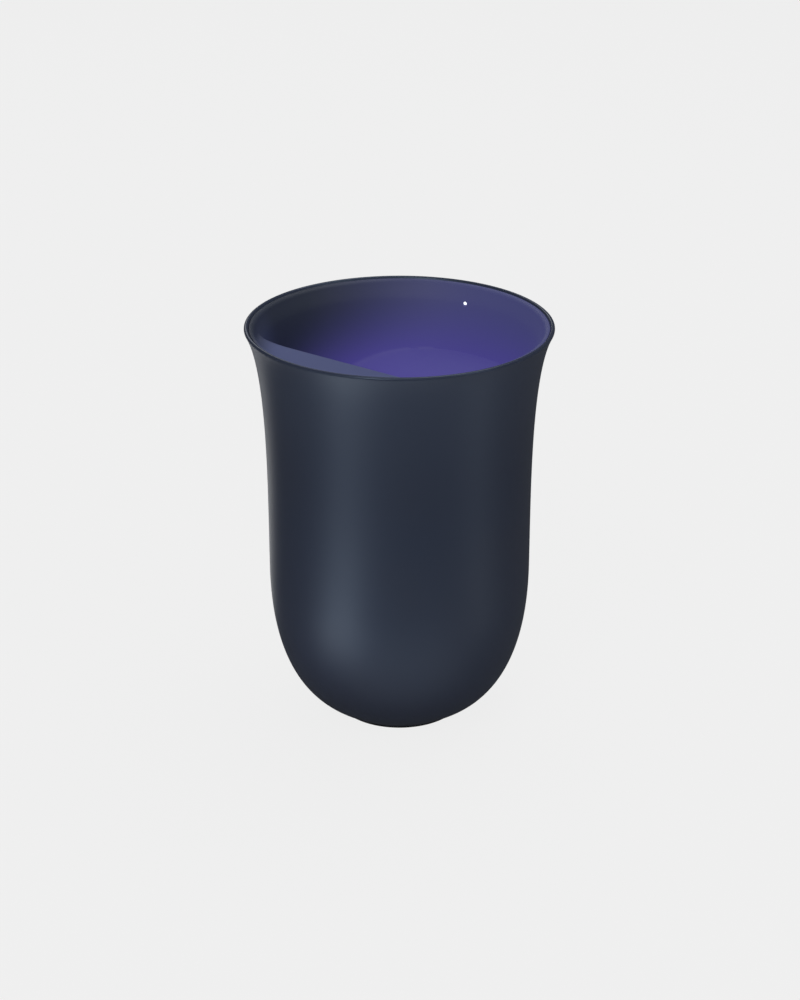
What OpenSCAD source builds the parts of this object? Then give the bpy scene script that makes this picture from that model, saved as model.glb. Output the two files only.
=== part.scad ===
// Vase-shaped ultraviolet sanitizer: a handheld device stands in a tapered well,
// leans on a sloping wall with a charging coil behind it, and is lit from the front wall.
// Millimetres. Origin at the middle of the base, +Z up, the lamp side towards -Y.

/* [Overall] */
// Outer diameter of the rim
rim_d = 130; // [124:1:140]
// Height from the table to the top of the lip
height = 178; // [172:1:190]
// Diameter of the straight part of the body
body_d = 113.4; // [111:0.2:116]

/* [Outline] */
// Diameter of the opening under the bowl, where the base cover sits
base_d = 60; // [56:1:62]
// Height of the edge of that opening above the table
base_lift = 2.9; // [2.5:0.1:3.5]
// How far the base pulls the bowl outwards before it turns up
bowl_belly = 15.5; // [13:0.5:17]
// Height at which the bowl has become the straight wall
bowl_top = 68.4; // [60:0.2:72]
// Height at which the flare begins
flare_start = 76; // [73:1:90]
// Lean of the lip, outwards from vertical
flare_lean = 28; // [22:1:30]
// Length over which the lip keeps that lean, in parts of the rim's overhang
flare_hold = 2.29; // [1.8:0.01:2.6]

/* [Shell] */
// Wall of the outer shell, which is also the thickness of its round lip
shell_wall = 1.8; // [1.6:0.1:2.1]
// Thickness of the shell's floor
floor_wall = 2; // [1.6:0.1:2.4]
// Height of the underside of that floor
floor_under = 4.7; // [4.5:0.1:5.2]

/* [Well liner] */
// Wall of the moulded liner
liner_wall = 1.6; // [1.4:0.1:1.8]
// Gap between liner and shell at the rim
rim_gap = 0.3; // [0.2:0.05:0.4]
// Gap between liner and shell below the rim
body_gap = 1.2; // [1.1:0.1:1.6]
// How far the liner's edge lies below the top of the lip
liner_drop = 0.8; // [0.6:0.1:1.2]
// Radius of the liner's rounded edge
liner_lip = 1.2; // [0.9:0.1:1.4]
// Height of the well's floor
well_floor = 31; // [30:0.5:34]
// Distance of the front wall from the axis, at the floor
front_foot = 30; // [29:0.5:31]
// Distance of the front wall from the axis, just under the shelf
front_top = 37.6; // [36:0.2:39]
// Depth below the top at which the front wall turns into the shelf
shelf_depth = 8.5; // [8:0.5:10]
// Slope of the shelf, rising to the rim
shelf_slope = 10; // [9:0.5:11]
// Rounding between shelf and front wall
shelf_round = 3.5; // [3:0.25:4]
// Lean of the charging wall, back from vertical
back_lean = 15.5; // [14:0.5:16]
// Distance of the charging wall in front of the axis, at the floor
back_foot = 11.7; // [10.5:0.1:12.5]
// Depth below the top at which the charging wall starts to open into the funnel
funnel_depth = 48; // [46:1:52]
// Width of the blend between flat walls and round sides
corner_blend = 12; // [9:1:14]

/* [Floor pad] */
// Thickness of the soft pad on the well's floor
pad_t = 1.2; // [0.8:0.1:1.6]
// Depth of the pad, front to back
pad_depth = 11; // [9:0.5:12]
// Width of the pad
pad_w = 64; // [56:1:68]
// Distance from groove to groove across the pad
groove_pitch = 4; // [3:0.5:6]

/* [Lamp] */
// Depth of the lamp's axis below the top
lamp_depth = 28; // [27:1:34]
// Diameter of the window's clear face
window_d = 15.4; // [14:0.2:16]
// Thickness of the window's flange
window_flange_t = 1.7; // [1.5:0.1:1.9]
// Height of the lamp boss on the liner
lamp_boss_h = 2.7; // [2.6:0.1:3.2]
// Side of the square lamp package
led_size = 3.5; // [3:0.1:4]
// Clear space between the heatsink's fins and the shell
fin_clear = 2.5; // [2:0.1:3]
// Thickness of the circuit boards
board_t = 1.6; // [1.2:0.1:1.6]
// Number of heatsink fins
fin_count = 6; // [4:1:7]
// Length of the fins, top to bottom
fin_l = 16; // [12:0.5:18]

/* [Charging coil] */
// Distance of the coil's middle below the start of the funnel
coil_below = 32; // [30:1:35]
// Diameter of the coil's strand
wire_d = 1.2; // [1:0.05:1.25]
// Turns of the coil
coil_turns = 8; // [6:1:8]
// Distance from turn to turn
coil_pitch = 1.75; // [1.7:0.05:1.8]
// Radius of the first turn
coil_start = 10.4; // [9:0.2:11]
// Thickness of the ferrite plate
ferrite_t = 1.5; // [1:0.1:2]

/* [Button] */
// Height of the button on the back
button_z = 72; // [70:0.5:75]
// Diameter of the button
button_d = 9.4; // [8:0.2:10]
// Travel of the button
button_travel = 0.5; // [0.3:0.1:0.6]

/* [Power inlet] */
// Width of the inlet socket
inlet_w = 8.9; // [8.5:0.1:9.2]
// Height of the inlet socket
inlet_h = 3.2; // [3:0.1:3.4]
// Length of the inlet socket
inlet_l = 7.6; // [7:0.1:9]

/* [Status light] */
// Depth of the status light below the top
status_depth = 8.5; // [8:0.5:12]
// Angle of the status light from the middle of the back
status_turn = 7; // [0:1:15]
// Diameter of the status light
status_d = 1.7; // [1.4:0.1:2]

/* [Base] */
// Inner radius of the foot ring
foot_in = 22; // [21:0.5:23]
// Outer radius of the foot ring
foot_out = 27.5; // [26:0.5:28]
// Depth of the groove that holds the foot ring
foot_groove = 1.2; // [1:0.1:1.4]
// Height of the underside of the base cover above the table
cover_lift = 1.4; // [1.2:0.1:1.6]
// Radius at which the base screws stand
base_screw_r = 15; // [14:0.5:15.5]
// Height of the frame's deck above the shell's floor
deck_rise = 10.5; // [10:0.5:12]
// Thickness of the frame's deck
deck_t = 2; // [1.6:0.2:2.4]
// Clear space between the frame's deck and the shell
deck_gap = 3.5; // [2:0.5:5]
// Height of the posts under the main board
post_h = 3.8; // [3:0.2:5]
// Distance of the main board's edge from the deck's edge
board_margin = 6; // [5:0.5:8]
// Clear space between the ballast ring and the pieces on both sides of it
ballast_gap = 1.1; // [0.8:0.1:1.4]

/* [Hidden] */

// ---- clearances and small fasteners ----
fit = 0.1;          // a sliding fit, on the radius
slack = 0.3;        // clear space between loose pieces
shank_r = 1.45;     // screws of the frame
shank_hole = 1.5;
head_r = 2.7;
head_h = 1.8;
small_shank_r = 1;  // screws of the small brackets
small_hole = 1.05;
small_head_r = 2.2;
small_head_h = 1.5;
navy = [0.17, 0.2, 0.25];
slate = [0.3, 0.31, 0.47];
circuit_green = [0.1, 0.35, 0.22];
steel = [0.72, 0.73, 0.75];

// ---- outline of the shell: two cubic curves, a bowl and a flare ----
base_r = base_d / 2;
body_r = body_d / 2;
lip_r = shell_wall / 2;
lip_mid = [rim_d / 2 - lip_r, height - lip_r];
flare_end = lip_mid + lip_r * [cos(flare_lean), -sin(flare_lean)];
flare_reach = flare_hold * (rim_d - body_d) / 2 * [sin(flare_lean), cos(flare_lean)];
base_turn = 0.46;     // slope with which the bowl leaves the base
bowl_upright = 0.43;  // share of the bowl's height below which its side begins to turn in
flare_upright = 0.32; // share of the flare's height over which it stays upright
bowl = [[base_r, base_lift], [base_r + bowl_belly, base_lift + bowl_belly * base_turn],
    [body_r, bowl_top * bowl_upright], [body_r, bowl_top]];
flare = [[body_r, flare_start], [body_r, flare_start + (height - flare_start) * flare_upright],
    flare_end - flare_reach, flare_end];
bowl_steps = 16;
flare_steps = 18;
function bez(p, t) = pow(1 - t, 3) * p[0] + 3 * pow(1 - t, 2) * t * p[1]
    + 3 * (1 - t) * t * t * p[2] + pow(t, 3) * p[3];
function bez_dir(p, t) = let (d = pow(1 - t, 2) * (p[1] - p[0]) + 2 * (1 - t) * t * (p[2] - p[1])
    + t * t * (p[3] - p[2])) d / norm(d);
function inward(p, t, w) = let (d = bez_dir(p, t)) bez(p, t) + w * [-d[1], d[0]];
outline_out = concat([for (i = [0:bowl_steps]) bez(bowl, i / bowl_steps)],
    [for (i = [0:flare_steps]) bez(flare, i / flare_steps)]);
outline_in = concat([for (i = [0:bowl_steps]) inward(bowl, i / bowl_steps, shell_wall)],
    [for (i = [0:flare_steps]) inward(flare, i / flare_steps, shell_wall)]);
lip = [for (a = [20:20:160]) lip_mid + lip_r * [cos(a - flare_lean), sin(a - flare_lean)]];
shell_lip_inner = [lip_mid[1], lip_mid[0] - lip_r];
function shell_out(z) = lookup(z, [for (p = outline_out) [p[1], p[0]]]);
function shell_in(z) = lookup(z, concat([for (p = outline_in) [p[1], p[0]]], [shell_lip_inner]));
floor_top = floor_under + floor_wall;

// ---- shape of the well: at each height a circle cut by a front and a back wall ----
liner_top = height - liner_drop;
funnel_z = height - funnel_depth;
back_slope = tan(back_lean);
front_mid_z = height - shelf_depth;
front_mid_y = front_top + shelf_round;
shelf_end = 88;     // distance to which the shelf's slope is drawn, well past the rim
shelf_arc = [for (a = [90:-16:shelf_slope]) [front_mid_z + shelf_round * cos(a),
    front_mid_y - shelf_round * sin(a)]];
shelf_top = shelf_arc[len(shelf_arc) - 1];
front_line = concat([[well_floor, front_foot]], shelf_arc,
    [[shelf_top[0] + (shelf_end - shelf_top[1]) * tan(shelf_slope), shelf_end]]);
function back_plane(z) = (z - well_floor) * back_slope - back_foot;
funnel_start = 8;   // height over which the funnel still follows the wall
funnel_turn = 13;   // height at which it opens most
funnel_h = 22;      // height at which it has passed the rim
funnel = [[back_plane(funnel_z), funnel_z],
    [back_plane(funnel_z + funnel_start), funnel_z + funnel_start],
    [body_r * 0.6, funnel_z + funnel_turn], [body_r * 1.2, funnel_z + funnel_h]];
back_line = concat([[well_floor, back_plane(well_floor)]],
    [for (i = [0:12]) let (p = bez(funnel, i / 12)) [p[1], p[0]]]);
gap_edge = 1;       // depth below the liner's edge at which the gap begins to widen
gap_run = 7;        // height over which it widens
function gap(z) = let (t = min(1, max(0, (liner_top - gap_edge - z) / gap_run)))
    rim_gap + (body_gap - rim_gap) * t * t * (3 - 2 * t);
function liner_out(z) = shell_in(z) - gap(z);
lip_foot = liner_top - liner_lip;
function lip_open(z) = z <= lip_foot ? 0
    : liner_lip - sqrt(max(0, pow(liner_lip, 2) - pow(z - lip_foot, 2)));
function liner_in(z) = liner_out(z) - liner_wall + lip_open(z);

// Smooth smaller value of two distances: exact where they differ by more than the blend
function blend_min(a, b, k) = let (h = max(0, k - abs(a - b)) / k) min(a, b) - h * h * k / 4;
// The wall distance whose blend with the circle gives the wanted distance f
function wall_for(r, f, k) = r - f >= k ? f : r + k - sqrt(max(0, 4 * k * (r - f)));

points = 80;
floor_mid = (front_foot + back_foot) / 2;
// The rings' middle moves forwards with depth, and their points crowd towards the sides
round_top = funnel_z + 20;
floor_squeeze = 0.65;
function depth_share(z) = min(1, max(0, (round_top - z) / (round_top - well_floor)));
function mid_y(z) = -floor_mid * depth_share(z);
function squeeze(z) = 1 - floor_squeeze * depth_share(z);
// One ring of the well at height z, w outside the inner skin and inset from its walls
function ring(z, w, inset) = let (
    r = (w > 0 ? liner_out(z) : liner_in(z)) - inset,
    front = wall_for(r, min(r, lookup(z + w, front_line) + w - inset), corner_blend),
    back = wall_for(r, min(r, lookup(z + w, back_line) + w - inset), corner_blend),
    y = mid_y(z))
    [for (i = [0:points - 1]) let (
        t = 360 * (i + 0.5) / points,
        a = atan2(squeeze(z) * sin(t), cos(t)),
        circle_d = -y * sin(a) + sqrt(r * r - pow(y * cos(a), 2)),
        wall_d = sin(a) > 0 ? (back - y) / sin(a) : -(front + y) / sin(a),
        d = blend_min(circle_d, wall_d, corner_blend))
        [d * cos(a), y + d * sin(a), z]];
floor_round = 3;
function round_in(z, foot, r) = z >= foot + r ? 0 : r - sqrt(max(0, r * r - pow(foot + r - z, 2)));
skin_round = floor_round + 1;
skin_foot = well_floor - floor_wall;

// Where the rings lie: close together at the floor's rounding, the funnel, the shelf and the lip
function well_z(share) = well_floor + share * (funnel_z - well_floor);
floor_steps = [0, 0.12, 0.5, 1.3, floor_round];
wall_steps = [0.2, 0.45, 0.7, 0.88];
funnel_steps = [0, 3, 6, 8, 10, 12, 14, 17, 20];
throat_steps = [21, 15, 11];
lip_steps = [4.4, 3.8, 3.3, 2.8, 2.3, 1.8, 1.4, 1.1, 0.9, liner_drop];
inner_z = concat([for (d = floor_steps) well_floor + d], [for (s = wall_steps) well_z(s)],
    [for (d = funnel_steps) funnel_z + d], [for (d = throat_steps) height - d],
    [for (p = shelf_arc) p[0]], [for (d = lip_steps) height - d]);
skin_floor_steps = [0, 0.3, 1.2, skin_round];
skin_wall_steps = [0.2, 0.45, 0.7];
skin_funnel_steps = [-2, 3, 7, 10, 13, 17];
skin_top_steps = [24, 17, 11, 9, 7, 6, 5, 4, 3, 2.2, liner_drop];
skin_z = concat([for (d = skin_floor_steps) skin_foot + d], [for (s = skin_wall_steps) well_z(s)],
    [for (d = skin_funnel_steps) funnel_z + d], [for (d = skin_top_steps) height - d]);
inner_rings = [for (z = inner_z) ring(z, 0, round_in(z, well_floor, floor_round))];
skin_rings = [for (z = skin_z) ring(z, liner_wall, round_in(z, skin_foot, skin_round))];

// ---- places that several pieces share ----
function tenths(x) = round(x * 10) / 10;
back_skin = liner_wall * (1 + back_slope);
coil_z = funnel_z - coil_below;
ear_t = 2;
ear_r = 3.6;
boss_inset = 0.2;   // how far the liner's bosses stand in from the ears on them
screw_end = 0.3;    // clear space past the end of a small screw
thread_l = 7;       // length that a frame screw grips

lamp_z = height - lamp_depth;
lamp_skin = tenths(lookup(lamp_z + liner_wall, front_line) + liner_wall);
lamp_face = lamp_skin + lamp_boss_h;
window_r = window_d / 2;
window_flange_r = window_r + 1.8;
window_nose = 1.8;  // how far the clear face reaches through the liner
lamp_boss_r = window_flange_r + 3;
lamp_ear_x = lamp_boss_r + 5.5;
lamp_board_r = lamp_boss_r - 2.3;
sink_w = 18;
fin_t = 1.1;
fin_end = tenths(sqrt(pow(shell_in(lamp_z - fin_l / 2) - fin_clear, 2) - pow(sink_w / 2, 2)));
// the holder, the sink's plate and its fins share the room from the boss to the fins' ends
lamp_stack = fin_end - lamp_face;
holder_h = tenths(lamp_stack * 0.54);
sink_t = tenths(lamp_stack * 0.15);
fin_h = lamp_stack - holder_h - sink_t;

status_z = height - status_depth;
status_lean = atan((liner_out(status_z + 1) - liner_out(status_z - 1)) / 2);
status_boss_r = 3.4;
status_pad = 0.55;
status_led_size = [1.8, 1, status_pad - 0.05];
flex_t = 0.35;

deck_z = floor_top + deck_rise;
deck_top = deck_z + deck_t;
board_z = deck_top + post_h;
board_top = board_z + board_t;
deck_r = shell_in(deck_z) - deck_gap;
main_r = deck_r - board_margin;
frame_post_r = 4.2;
liner_post_r = 4;
board_post_r = 3.4;
liner_posts = [for (side = [-1, 1]) [side * front_foot * 0.9, -floor_mid]];
board_posts = [for (side = [-1, 1], p = [[0.73, 0.09], [0.5, 0.76]]) main_r * [side * p[0], p[1]]];
inlet_z = board_top + inlet_h / 2;
inlet_pocket = 1;   // depth of the recess round the inlet
inlet_floor = shell_out(inlet_z) - inlet_pocket;
inlet_face = inlet_floor - 0.2;
inlet_rim = 2.2;    // width of that recess round the socket

button_r = button_d / 2;
button_out = shell_out(button_z);
button_in = shell_in(button_z);
button_flange_t = 1.4;
button_flange_r = button_r + 1.8;
button_sleeve = 2.3;
button_sleeve_t = 2.2;
button_flange_y = button_in - button_sleeve - slack;
button_l = button_out - button_flange_y + button_flange_t;
dish = 0.4;         // depth of the dish in its face
stem_l = 0.4;
stem_r = 2;
plunger_r = 1.6;
plunger_y = button_flange_y - button_flange_t - stem_l;
plunger_in = 1;     // how deep the plunger stands in the switch
plunger_up = button_travel + slack;
switch_h = 3.5;
switch_w = 6;
button_board_y = plunger_y - plunger_up - switch_h;
button_board_h = 13;
button_post_x = 12.5;
button_post_r = 3;
button_thread = 3.6;

module at_lamp(d) translate([0, -d, lamp_z]) rotate([90, 0, 0]) children();
module at_button(d) translate([0, d, button_z]) rotate([-90, 0, 0]) children();
module on_back() translate([0, back_plane(coil_z) + back_skin, coil_z])
    rotate([-90 - back_lean, 0, 0]) children();
module at_status() rotate([0, 0, status_turn]) translate([0, liner_out(status_z), status_z])
    rotate([-90 - status_lean, 0, 0]) children();
module at_points(list) for (p = list) translate([p[0], p[1], 0]) children();
module round_plate(w, d, h, r) linear_extrude(h) hull() for (x = [-1, 1], y = [-1, 1])
    translate([x * (w / 2 - r), y * (d / 2 - r)]) circle(r, $fn = 24);
module at_corners() for (a = [45:90:315]) rotate([0, 0, a]) children();
// A slot with round ends, along x
module slot(w, h, t) {
    translate([0, 0, t / 2]) cube([w - h, h, t], center = true);
    for (x = [-1, 1]) translate([x * (w - h) / 2, 0, 0]) cylinder(r = h / 2, h = t, $fn = 32);
}
// A pan-head screw, its head standing on z = 0 and its shank going down
module screw(r, length, head, rise) {
    translate([0, 0, -length]) cylinder(r = r, h = length, $fn = 24);
    difference() {
        rotate_extrude($fn = 32) polygon([[0, 0], [head, 0], [head, rise * 0.45],
            [head * 0.85, rise * 0.8], [head * 0.5, rise], [0, rise]]);
        for (a = [0, 90]) rotate([0, 0, a]) translate([0, 0, rise])
            cube([head, head * 0.2, rise], center = true);
    }
}

// ---- the body ----
module outer_shell() color(navy) difference() {
    union() {
        rotate_extrude($fn = 120) polygon(concat(outline_out, lip,
            [for (i = [len(outline_in) - 1:-1:0]) if (outline_in[i][1] > floor_top + slack) outline_in[i]],
            [[shell_in(floor_top), floor_top], [0, floor_top], [0, floor_under], [base_r, floor_under]]));
        // sleeve that the button slides in
        at_button(button_in - button_sleeve)
            cylinder(r = button_r + button_sleeve_t, h = button_sleeve + shell_wall / 3, $fn = 48);
        // posts that carry the button's board
        for (side = [-1, 1]) translate([side * button_post_x, 0, 0]) at_button(button_board_y)
            cylinder(r = button_post_r, h = button_in - button_board_y - shell_wall / 2, $fn = 32);
    }
    at_button(button_in - button_sleeve - 1)
        cylinder(r = button_r + fit, h = button_sleeve + 4 * shell_wall, $fn = 48);
    for (side = [-1, 1]) translate([side * button_post_x, 0, 0]) at_button(button_board_y - 1)
        cylinder(r = small_hole, h = button_thread + 1.4, $fn = 24);
    translate([0, inlet_face - inlet_l, inlet_z]) rotate([-90, 0, 0])
        slot(inlet_w + 2 * slack, inlet_h + 2 * slack, inlet_l * 2);
    translate([0, inlet_floor, inlet_z]) rotate([-90, 0, 0])
        slot(inlet_w + 2 * inlet_rim, inlet_h + 2 * inlet_rim, inlet_l);
    at_corners() translate([base_screw_r, 0, floor_under - 1])
        cylinder(r = shank_hole + fit, h = floor_wall + 2, $fn = 32);
}

// A closed skin through rings of equal, even point counts. Each quad is split along the diagonal
// that lies farther out from the ring's middle, so that corners run smoothly from ring to ring
module loft(rings) {
    n = len(rings[0]);
    last = len(rings) - 1;
    cloud = [for (r = rings) each r];
    faces = concat(
        [[for (i = [0:n - 1]) i]],
        [for (j = [0:last - 1], i = [0:n - 1])
            let (a = j * n + i, b = j * n + (i + 1) % n, c = a + n, d = b + n,
                double_middle = rings[j][0] + rings[j][n / 2])
            each norm(cloud[b] + cloud[c] - double_middle) > norm(cloud[a] + cloud[d] - double_middle)
                ? [[a, c, b], [b, c, d]] : [[a, c, d], [a, d, b]]],
        [[for (i = [n - 1:-1:0]) last * n + i]]);
    polyhedron(cloud, faces);
}

module cavity_liner() color(slate) difference() {
    union() {
        loft(concat(skin_rings, [for (i = [len(inner_rings) - 1:-1:0]) inner_rings[i]]));
        at_points(liner_posts) translate([0, 0, deck_top])
            cylinder(r = liner_post_r, h = skin_foot - deck_top + floor_wall / 4, $fn = 32);
        on_back() at_coil_ears() translate([0, 0, -0.5])
            cylinder(r = ear_r - boss_inset, h = coil_boss + 0.5, $fn = 32);
        at_lamp(lamp_skin - 0.6) cylinder(r = lamp_boss_r, h = lamp_boss_h + 0.6, $fn = 48);
        at_lamp_ears(lamp_skin - 0.4) cylinder(r = ear_r - boss_inset, h = lamp_boss_h + 0.4, $fn = 32);
        at_status() translate([0, 0, -liner_wall / 2])
            cylinder(r = status_boss_r, h = liner_wall / 2 + status_pad, $fn = 32);
    }
    at_points(liner_posts) translate([0, 0, deck_top - 1])
        cylinder(r = shank_hole, h = thread_l + 2, $fn = 32);
    on_back() at_coil_ears() translate([0, 0, 0.4]) cylinder(r = small_hole, h = coil_boss * 2, $fn = 24);
    at_lamp(lamp_skin - 5) cylinder(r = window_r + slack, h = 12, $fn = 48);
    at_lamp(lamp_face - window_flange_t) cylinder(r = window_flange_r + slack, h = 5, $fn = 48);
    at_lamp_ears(lamp_skin) cylinder(r = small_hole, h = lamp_boss_h * 3, $fn = 24);
    at_status() {
        translate([0, 0, -4]) cylinder(r = status_d / 2 + 0.05, h = 6, $fn = 24);
        translate([-1.2, -0.9, 0]) cube([2.4, 1.8, 2]);
    }
}

// The pad's top has grooves that run from front to back
module well_floor_pad() color([0.12, 0.12, 0.16]) translate([0, -floor_mid, well_floor]) difference() {
    slot(pad_w, pad_depth, pad_t);
    flat = pad_w - pad_depth;
    for (i = [0:floor(flat / groove_pitch)])
        translate([(i - floor(flat / groove_pitch) / 2) * groove_pitch, 0, pad_t])
            cube([groove_pitch * 0.35, pad_depth - 2 * pad_t, pad_t * 0.5], center = true);
}

// ---- lamp in the front wall ----
module at_lamp_ears(d) for (side = [-1, 1]) translate([side * lamp_ear_x, 0, 0]) at_lamp(d) children();

module uv_window() color([0.75, 0.7, 0.95]) at_lamp(lamp_face) {
    translate([0, 0, -window_flange_t - window_nose]) cylinder(r = window_r, h = window_nose + 0.4, $fn = 48);
    translate([0, 0, -window_flange_t]) cylinder(r = window_flange_r, h = window_flange_t, $fn = 48);
}

module uv_holder() color([0.2, 0.2, 0.22]) difference() {
    union() {
        at_lamp(lamp_face) cylinder(r = lamp_boss_r, h = holder_h, $fn = 48);
        at_lamp_ears(lamp_face) cylinder(r = ear_r, h = ear_t, $fn = 32);
        at_lamp(lamp_face) translate([0, 0, ear_t / 2])
            cube([lamp_ear_x * 2, ear_r * 2, ear_t], center = true);
    }
    at_lamp(lamp_face - 1) cylinder(r = window_r + 0.8, h = holder_h + 2, $fn = 48);
    at_lamp(lamp_face + holder_h - board_t) cylinder(r = lamp_board_r + slack, h = board_t * 2, $fn = 48);
    at_lamp_ears(lamp_face - 1) cylinder(r = small_hole + fit, h = ear_t + 2, $fn = 24);
    // notch for the lamp's wires
    at_lamp(lamp_face + holder_h) translate([0, -lamp_boss_r, 0])
        cube([ear_r * 1.4, lamp_boss_r / 2, holder_h / 2], center = true);
}

module uv_board() color(circuit_green) at_lamp(lamp_face + holder_h - board_t)
    cylinder(r = lamp_board_r, h = board_t, $fn = 48);

module uv_led() color([0.9, 0.88, 0.75]) at_lamp(lamp_face + holder_h - board_t) {
    package_t = led_size * 0.3;
    dome_r = led_size * 0.4;
    translate([0, 0, -package_t / 2]) cube([led_size, led_size, package_t], center = true);
    rotate([180, 0, 0]) translate([0, 0, package_t]) rotate_extrude($fn = 32)
        polygon([for (a = [0:15:90]) dome_r * [cos(a), 0.65 * sin(a)], [0, 0]]);
}

module uv_heatsink() color([0.75, 0.76, 0.78]) at_lamp(lamp_face + holder_h) {
    cylinder(r = lamp_boss_r, h = sink_t, $fn = 48);
    for (i = [0:fin_count - 1])
        translate([-sink_w / 2 + i * (sink_w - fin_t) / (fin_count - 1), -fin_l / 2, sink_t])
            cube([fin_t, fin_l, fin_h]);
}

module uv_screws() color(steel) at_lamp_ears(lamp_face + ear_t)
    screw(small_shank_r, ear_t + lamp_boss_h - screw_end, small_head_r, small_head_h);

// ---- charging coil behind the sloping wall ----
coil_lift = 0.4;    // clear space between the liner and the strand
ferrite_z = coil_lift + wire_d + 0.1;
coil_edge = coil_start + coil_turns * coil_pitch + wire_d / 2;
carrier_wall = 1.6;
carrier_r = coil_edge + 2.6;
carrier_floor = ferrite_z + ferrite_t;
carrier_hole_r = 3.5;
coil_boss = 4.2;    // height of the liner's bosses under the carrier's ears
coil_ear_r = carrier_r + 4;
coil_sides = 6;
loop_rings = 24;
module at_coil_ears() for (a = [90, 210, 330]) rotate([0, 0, a]) translate([coil_ear_r, 0, 0]) children();
function spiral(s) = let (a = 360 * s, r = coil_start + coil_pitch * s) [r * cos(a), r * sin(a)];
function strand_ring(p, out) = [for (k = [0:coil_sides - 1]) let (b = 360 * (k + 0.5) / coil_sides)
    [p[0] + out[0] * cos(b) * wire_d / 2, p[1] + out[1] * cos(b) * wire_d / 2,
        coil_lift + wire_d / 2 + sin(b) * wire_d / 2]];
spiral_path = [for (i = [0:coil_turns * loop_rings]) spiral(i / loop_rings)];
// the strand's ends run on straight for one strand diameter
strand_start = spiral_path[0] - [0, wire_d];
strand_end = spiral_path[coil_turns * loop_rings] + [0, wire_d];
strand_rings = concat([strand_ring(strand_start, [1, 0])],
    [for (p = spiral_path) strand_ring(p, p / norm(p))], [strand_ring(strand_end, [1, 0])]);
turn_gaps = [for (i = [0:(coil_turns - 1) * loop_rings])
    norm(spiral_path[i + loop_rings] - spiral_path[i]) - wire_d];
echo(str("least gap between turns, mm: ", min(turn_gaps)));

module charge_coil() color([0.78, 0.45, 0.25]) on_back() loft(strand_rings);

module ferrite_plate() color([0.15, 0.15, 0.16]) on_back() translate([0, 0, ferrite_z])
    cylinder(r = carrier_r - carrier_wall - slack, h = ferrite_t, $fn = 64);

module coil_carrier() color([0.82, 0.82, 0.84]) on_back() difference() {
    union() {
        translate([0, 0, coil_lift])
            cylinder(r = carrier_r, h = carrier_floor + carrier_wall - coil_lift, $fn = 64);
        at_coil_ears() {
            translate([0, 0, coil_boss]) cylinder(r = ear_r, h = ear_t, $fn = 32);
            translate([-ear_r, 0, coil_boss + ear_t / 2]) cube([ear_r * 2, ear_r * 2, ear_t], center = true);
        }
    }
    translate([0, 0, -1]) cylinder(r = carrier_r - carrier_wall, h = carrier_floor + 1, $fn = 64);
    at_coil_ears() cylinder(r = small_hole + fit, h = coil_boss * 3, $fn = 24);
    // holes that let the coil's heat out
    for (a = [30:60:330]) rotate([0, 0, a]) translate([carrier_r / 2, 0, 0])
        cylinder(r = carrier_hole_r, h = coil_boss * 3, $fn = 24);
}

module coil_screws() color(steel) on_back() at_coil_ears() translate([0, 0, coil_boss + ear_t])
    screw(small_shank_r, ear_t + coil_boss - 0.4 - screw_end, small_head_r, small_head_h);

// ---- inner frame, boards and inlet ----
module inner_frame() color([0.28, 0.28, 0.3]) difference() {
    rib_t = 1.6;
    rim_t = 1.5;
    union() {
        translate([0, 0, deck_z]) cylinder(r = deck_r, h = deck_t, $fn = 96);
        at_corners() translate([base_screw_r, 0, floor_top])
            cylinder(r = frame_post_r, h = deck_rise, $fn = 32);
        // two ribs that cross under the deck from post to post
        for (a = [45, 135]) rotate([0, 0, a]) translate([-base_screw_r, -rib_t / 2, floor_top + 1])
            cube([base_screw_r * 2, rib_t, deck_rise - 1]);
        at_points(board_posts) translate([0, 0, deck_top]) cylinder(r = board_post_r, h = post_h, $fn = 32);
        // upturned edge that stiffens the deck
        translate([0, 0, deck_z]) difference() {
            cylinder(r = deck_r, h = deck_t + rim_t, $fn = 96);
            translate([0, 0, -1]) cylinder(r = deck_r - rim_t, h = deck_t * 4, $fn = 96);
        }
    }
    at_corners() translate([base_screw_r, 0, floor_top - 1])
        cylinder(r = shank_hole, h = deck_rise - 1, $fn = 32);
    at_points(liner_posts) translate([0, 0, deck_z - 1])
        cylinder(r = shank_hole + fit, h = deck_t + 3, $fn = 32);
    at_points(board_posts) translate([0, 0, deck_z + 0.6])
        cylinder(r = small_hole, h = post_h * 3, $fn = 24);
    // openings for wires
    for (side = [-1, 1]) translate([side * deck_r / 3, -deck_r / 20, deck_z - 1])
        cylinder(r = deck_r / 8, h = deck_t * 2, $fn = 32);
    translate([0, -deck_r * 0.6, deck_z - 1]) slot(deck_r * 0.6, deck_r * 0.3, deck_t * 2);
    translate([0, deck_r * 0.65, deck_z - 1]) slot(deck_r * 0.5, deck_r * 0.3, deck_t * 2);
}

module liner_screws() color(steel) at_points(liner_posts) translate([0, 0, deck_z]) rotate([180, 0, 0])
    screw(shank_r, deck_t + thread_l, head_r, head_h);

board_front = 8;    // how far the main board reaches in front of the axis
module main_board() color(circuit_green) translate([0, 0, board_z]) difference() {
    union() {
        cylinder(r = main_r, h = board_t, $fn = 96);
        // tongue that carries the inlet
        translate([-inlet_w, 0, 0]) cube([inlet_w * 2, inlet_face - 3.2, board_t]);
    }
    translate([-main_r * 1.5, -board_front - main_r, -1]) cube([main_r * 3, main_r, board_t * 3]);
    at_points(board_posts) translate([0, 0, -1]) cylinder(r = small_hole + fit, h = board_t + 2, $fn = 24);
}

// A box that stands on the main board, its place given in shares of the board's radius
module board_box(x, y, size) translate([x * main_r, y * main_r, size[2] / 2]) cube(size, center = true);

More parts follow.
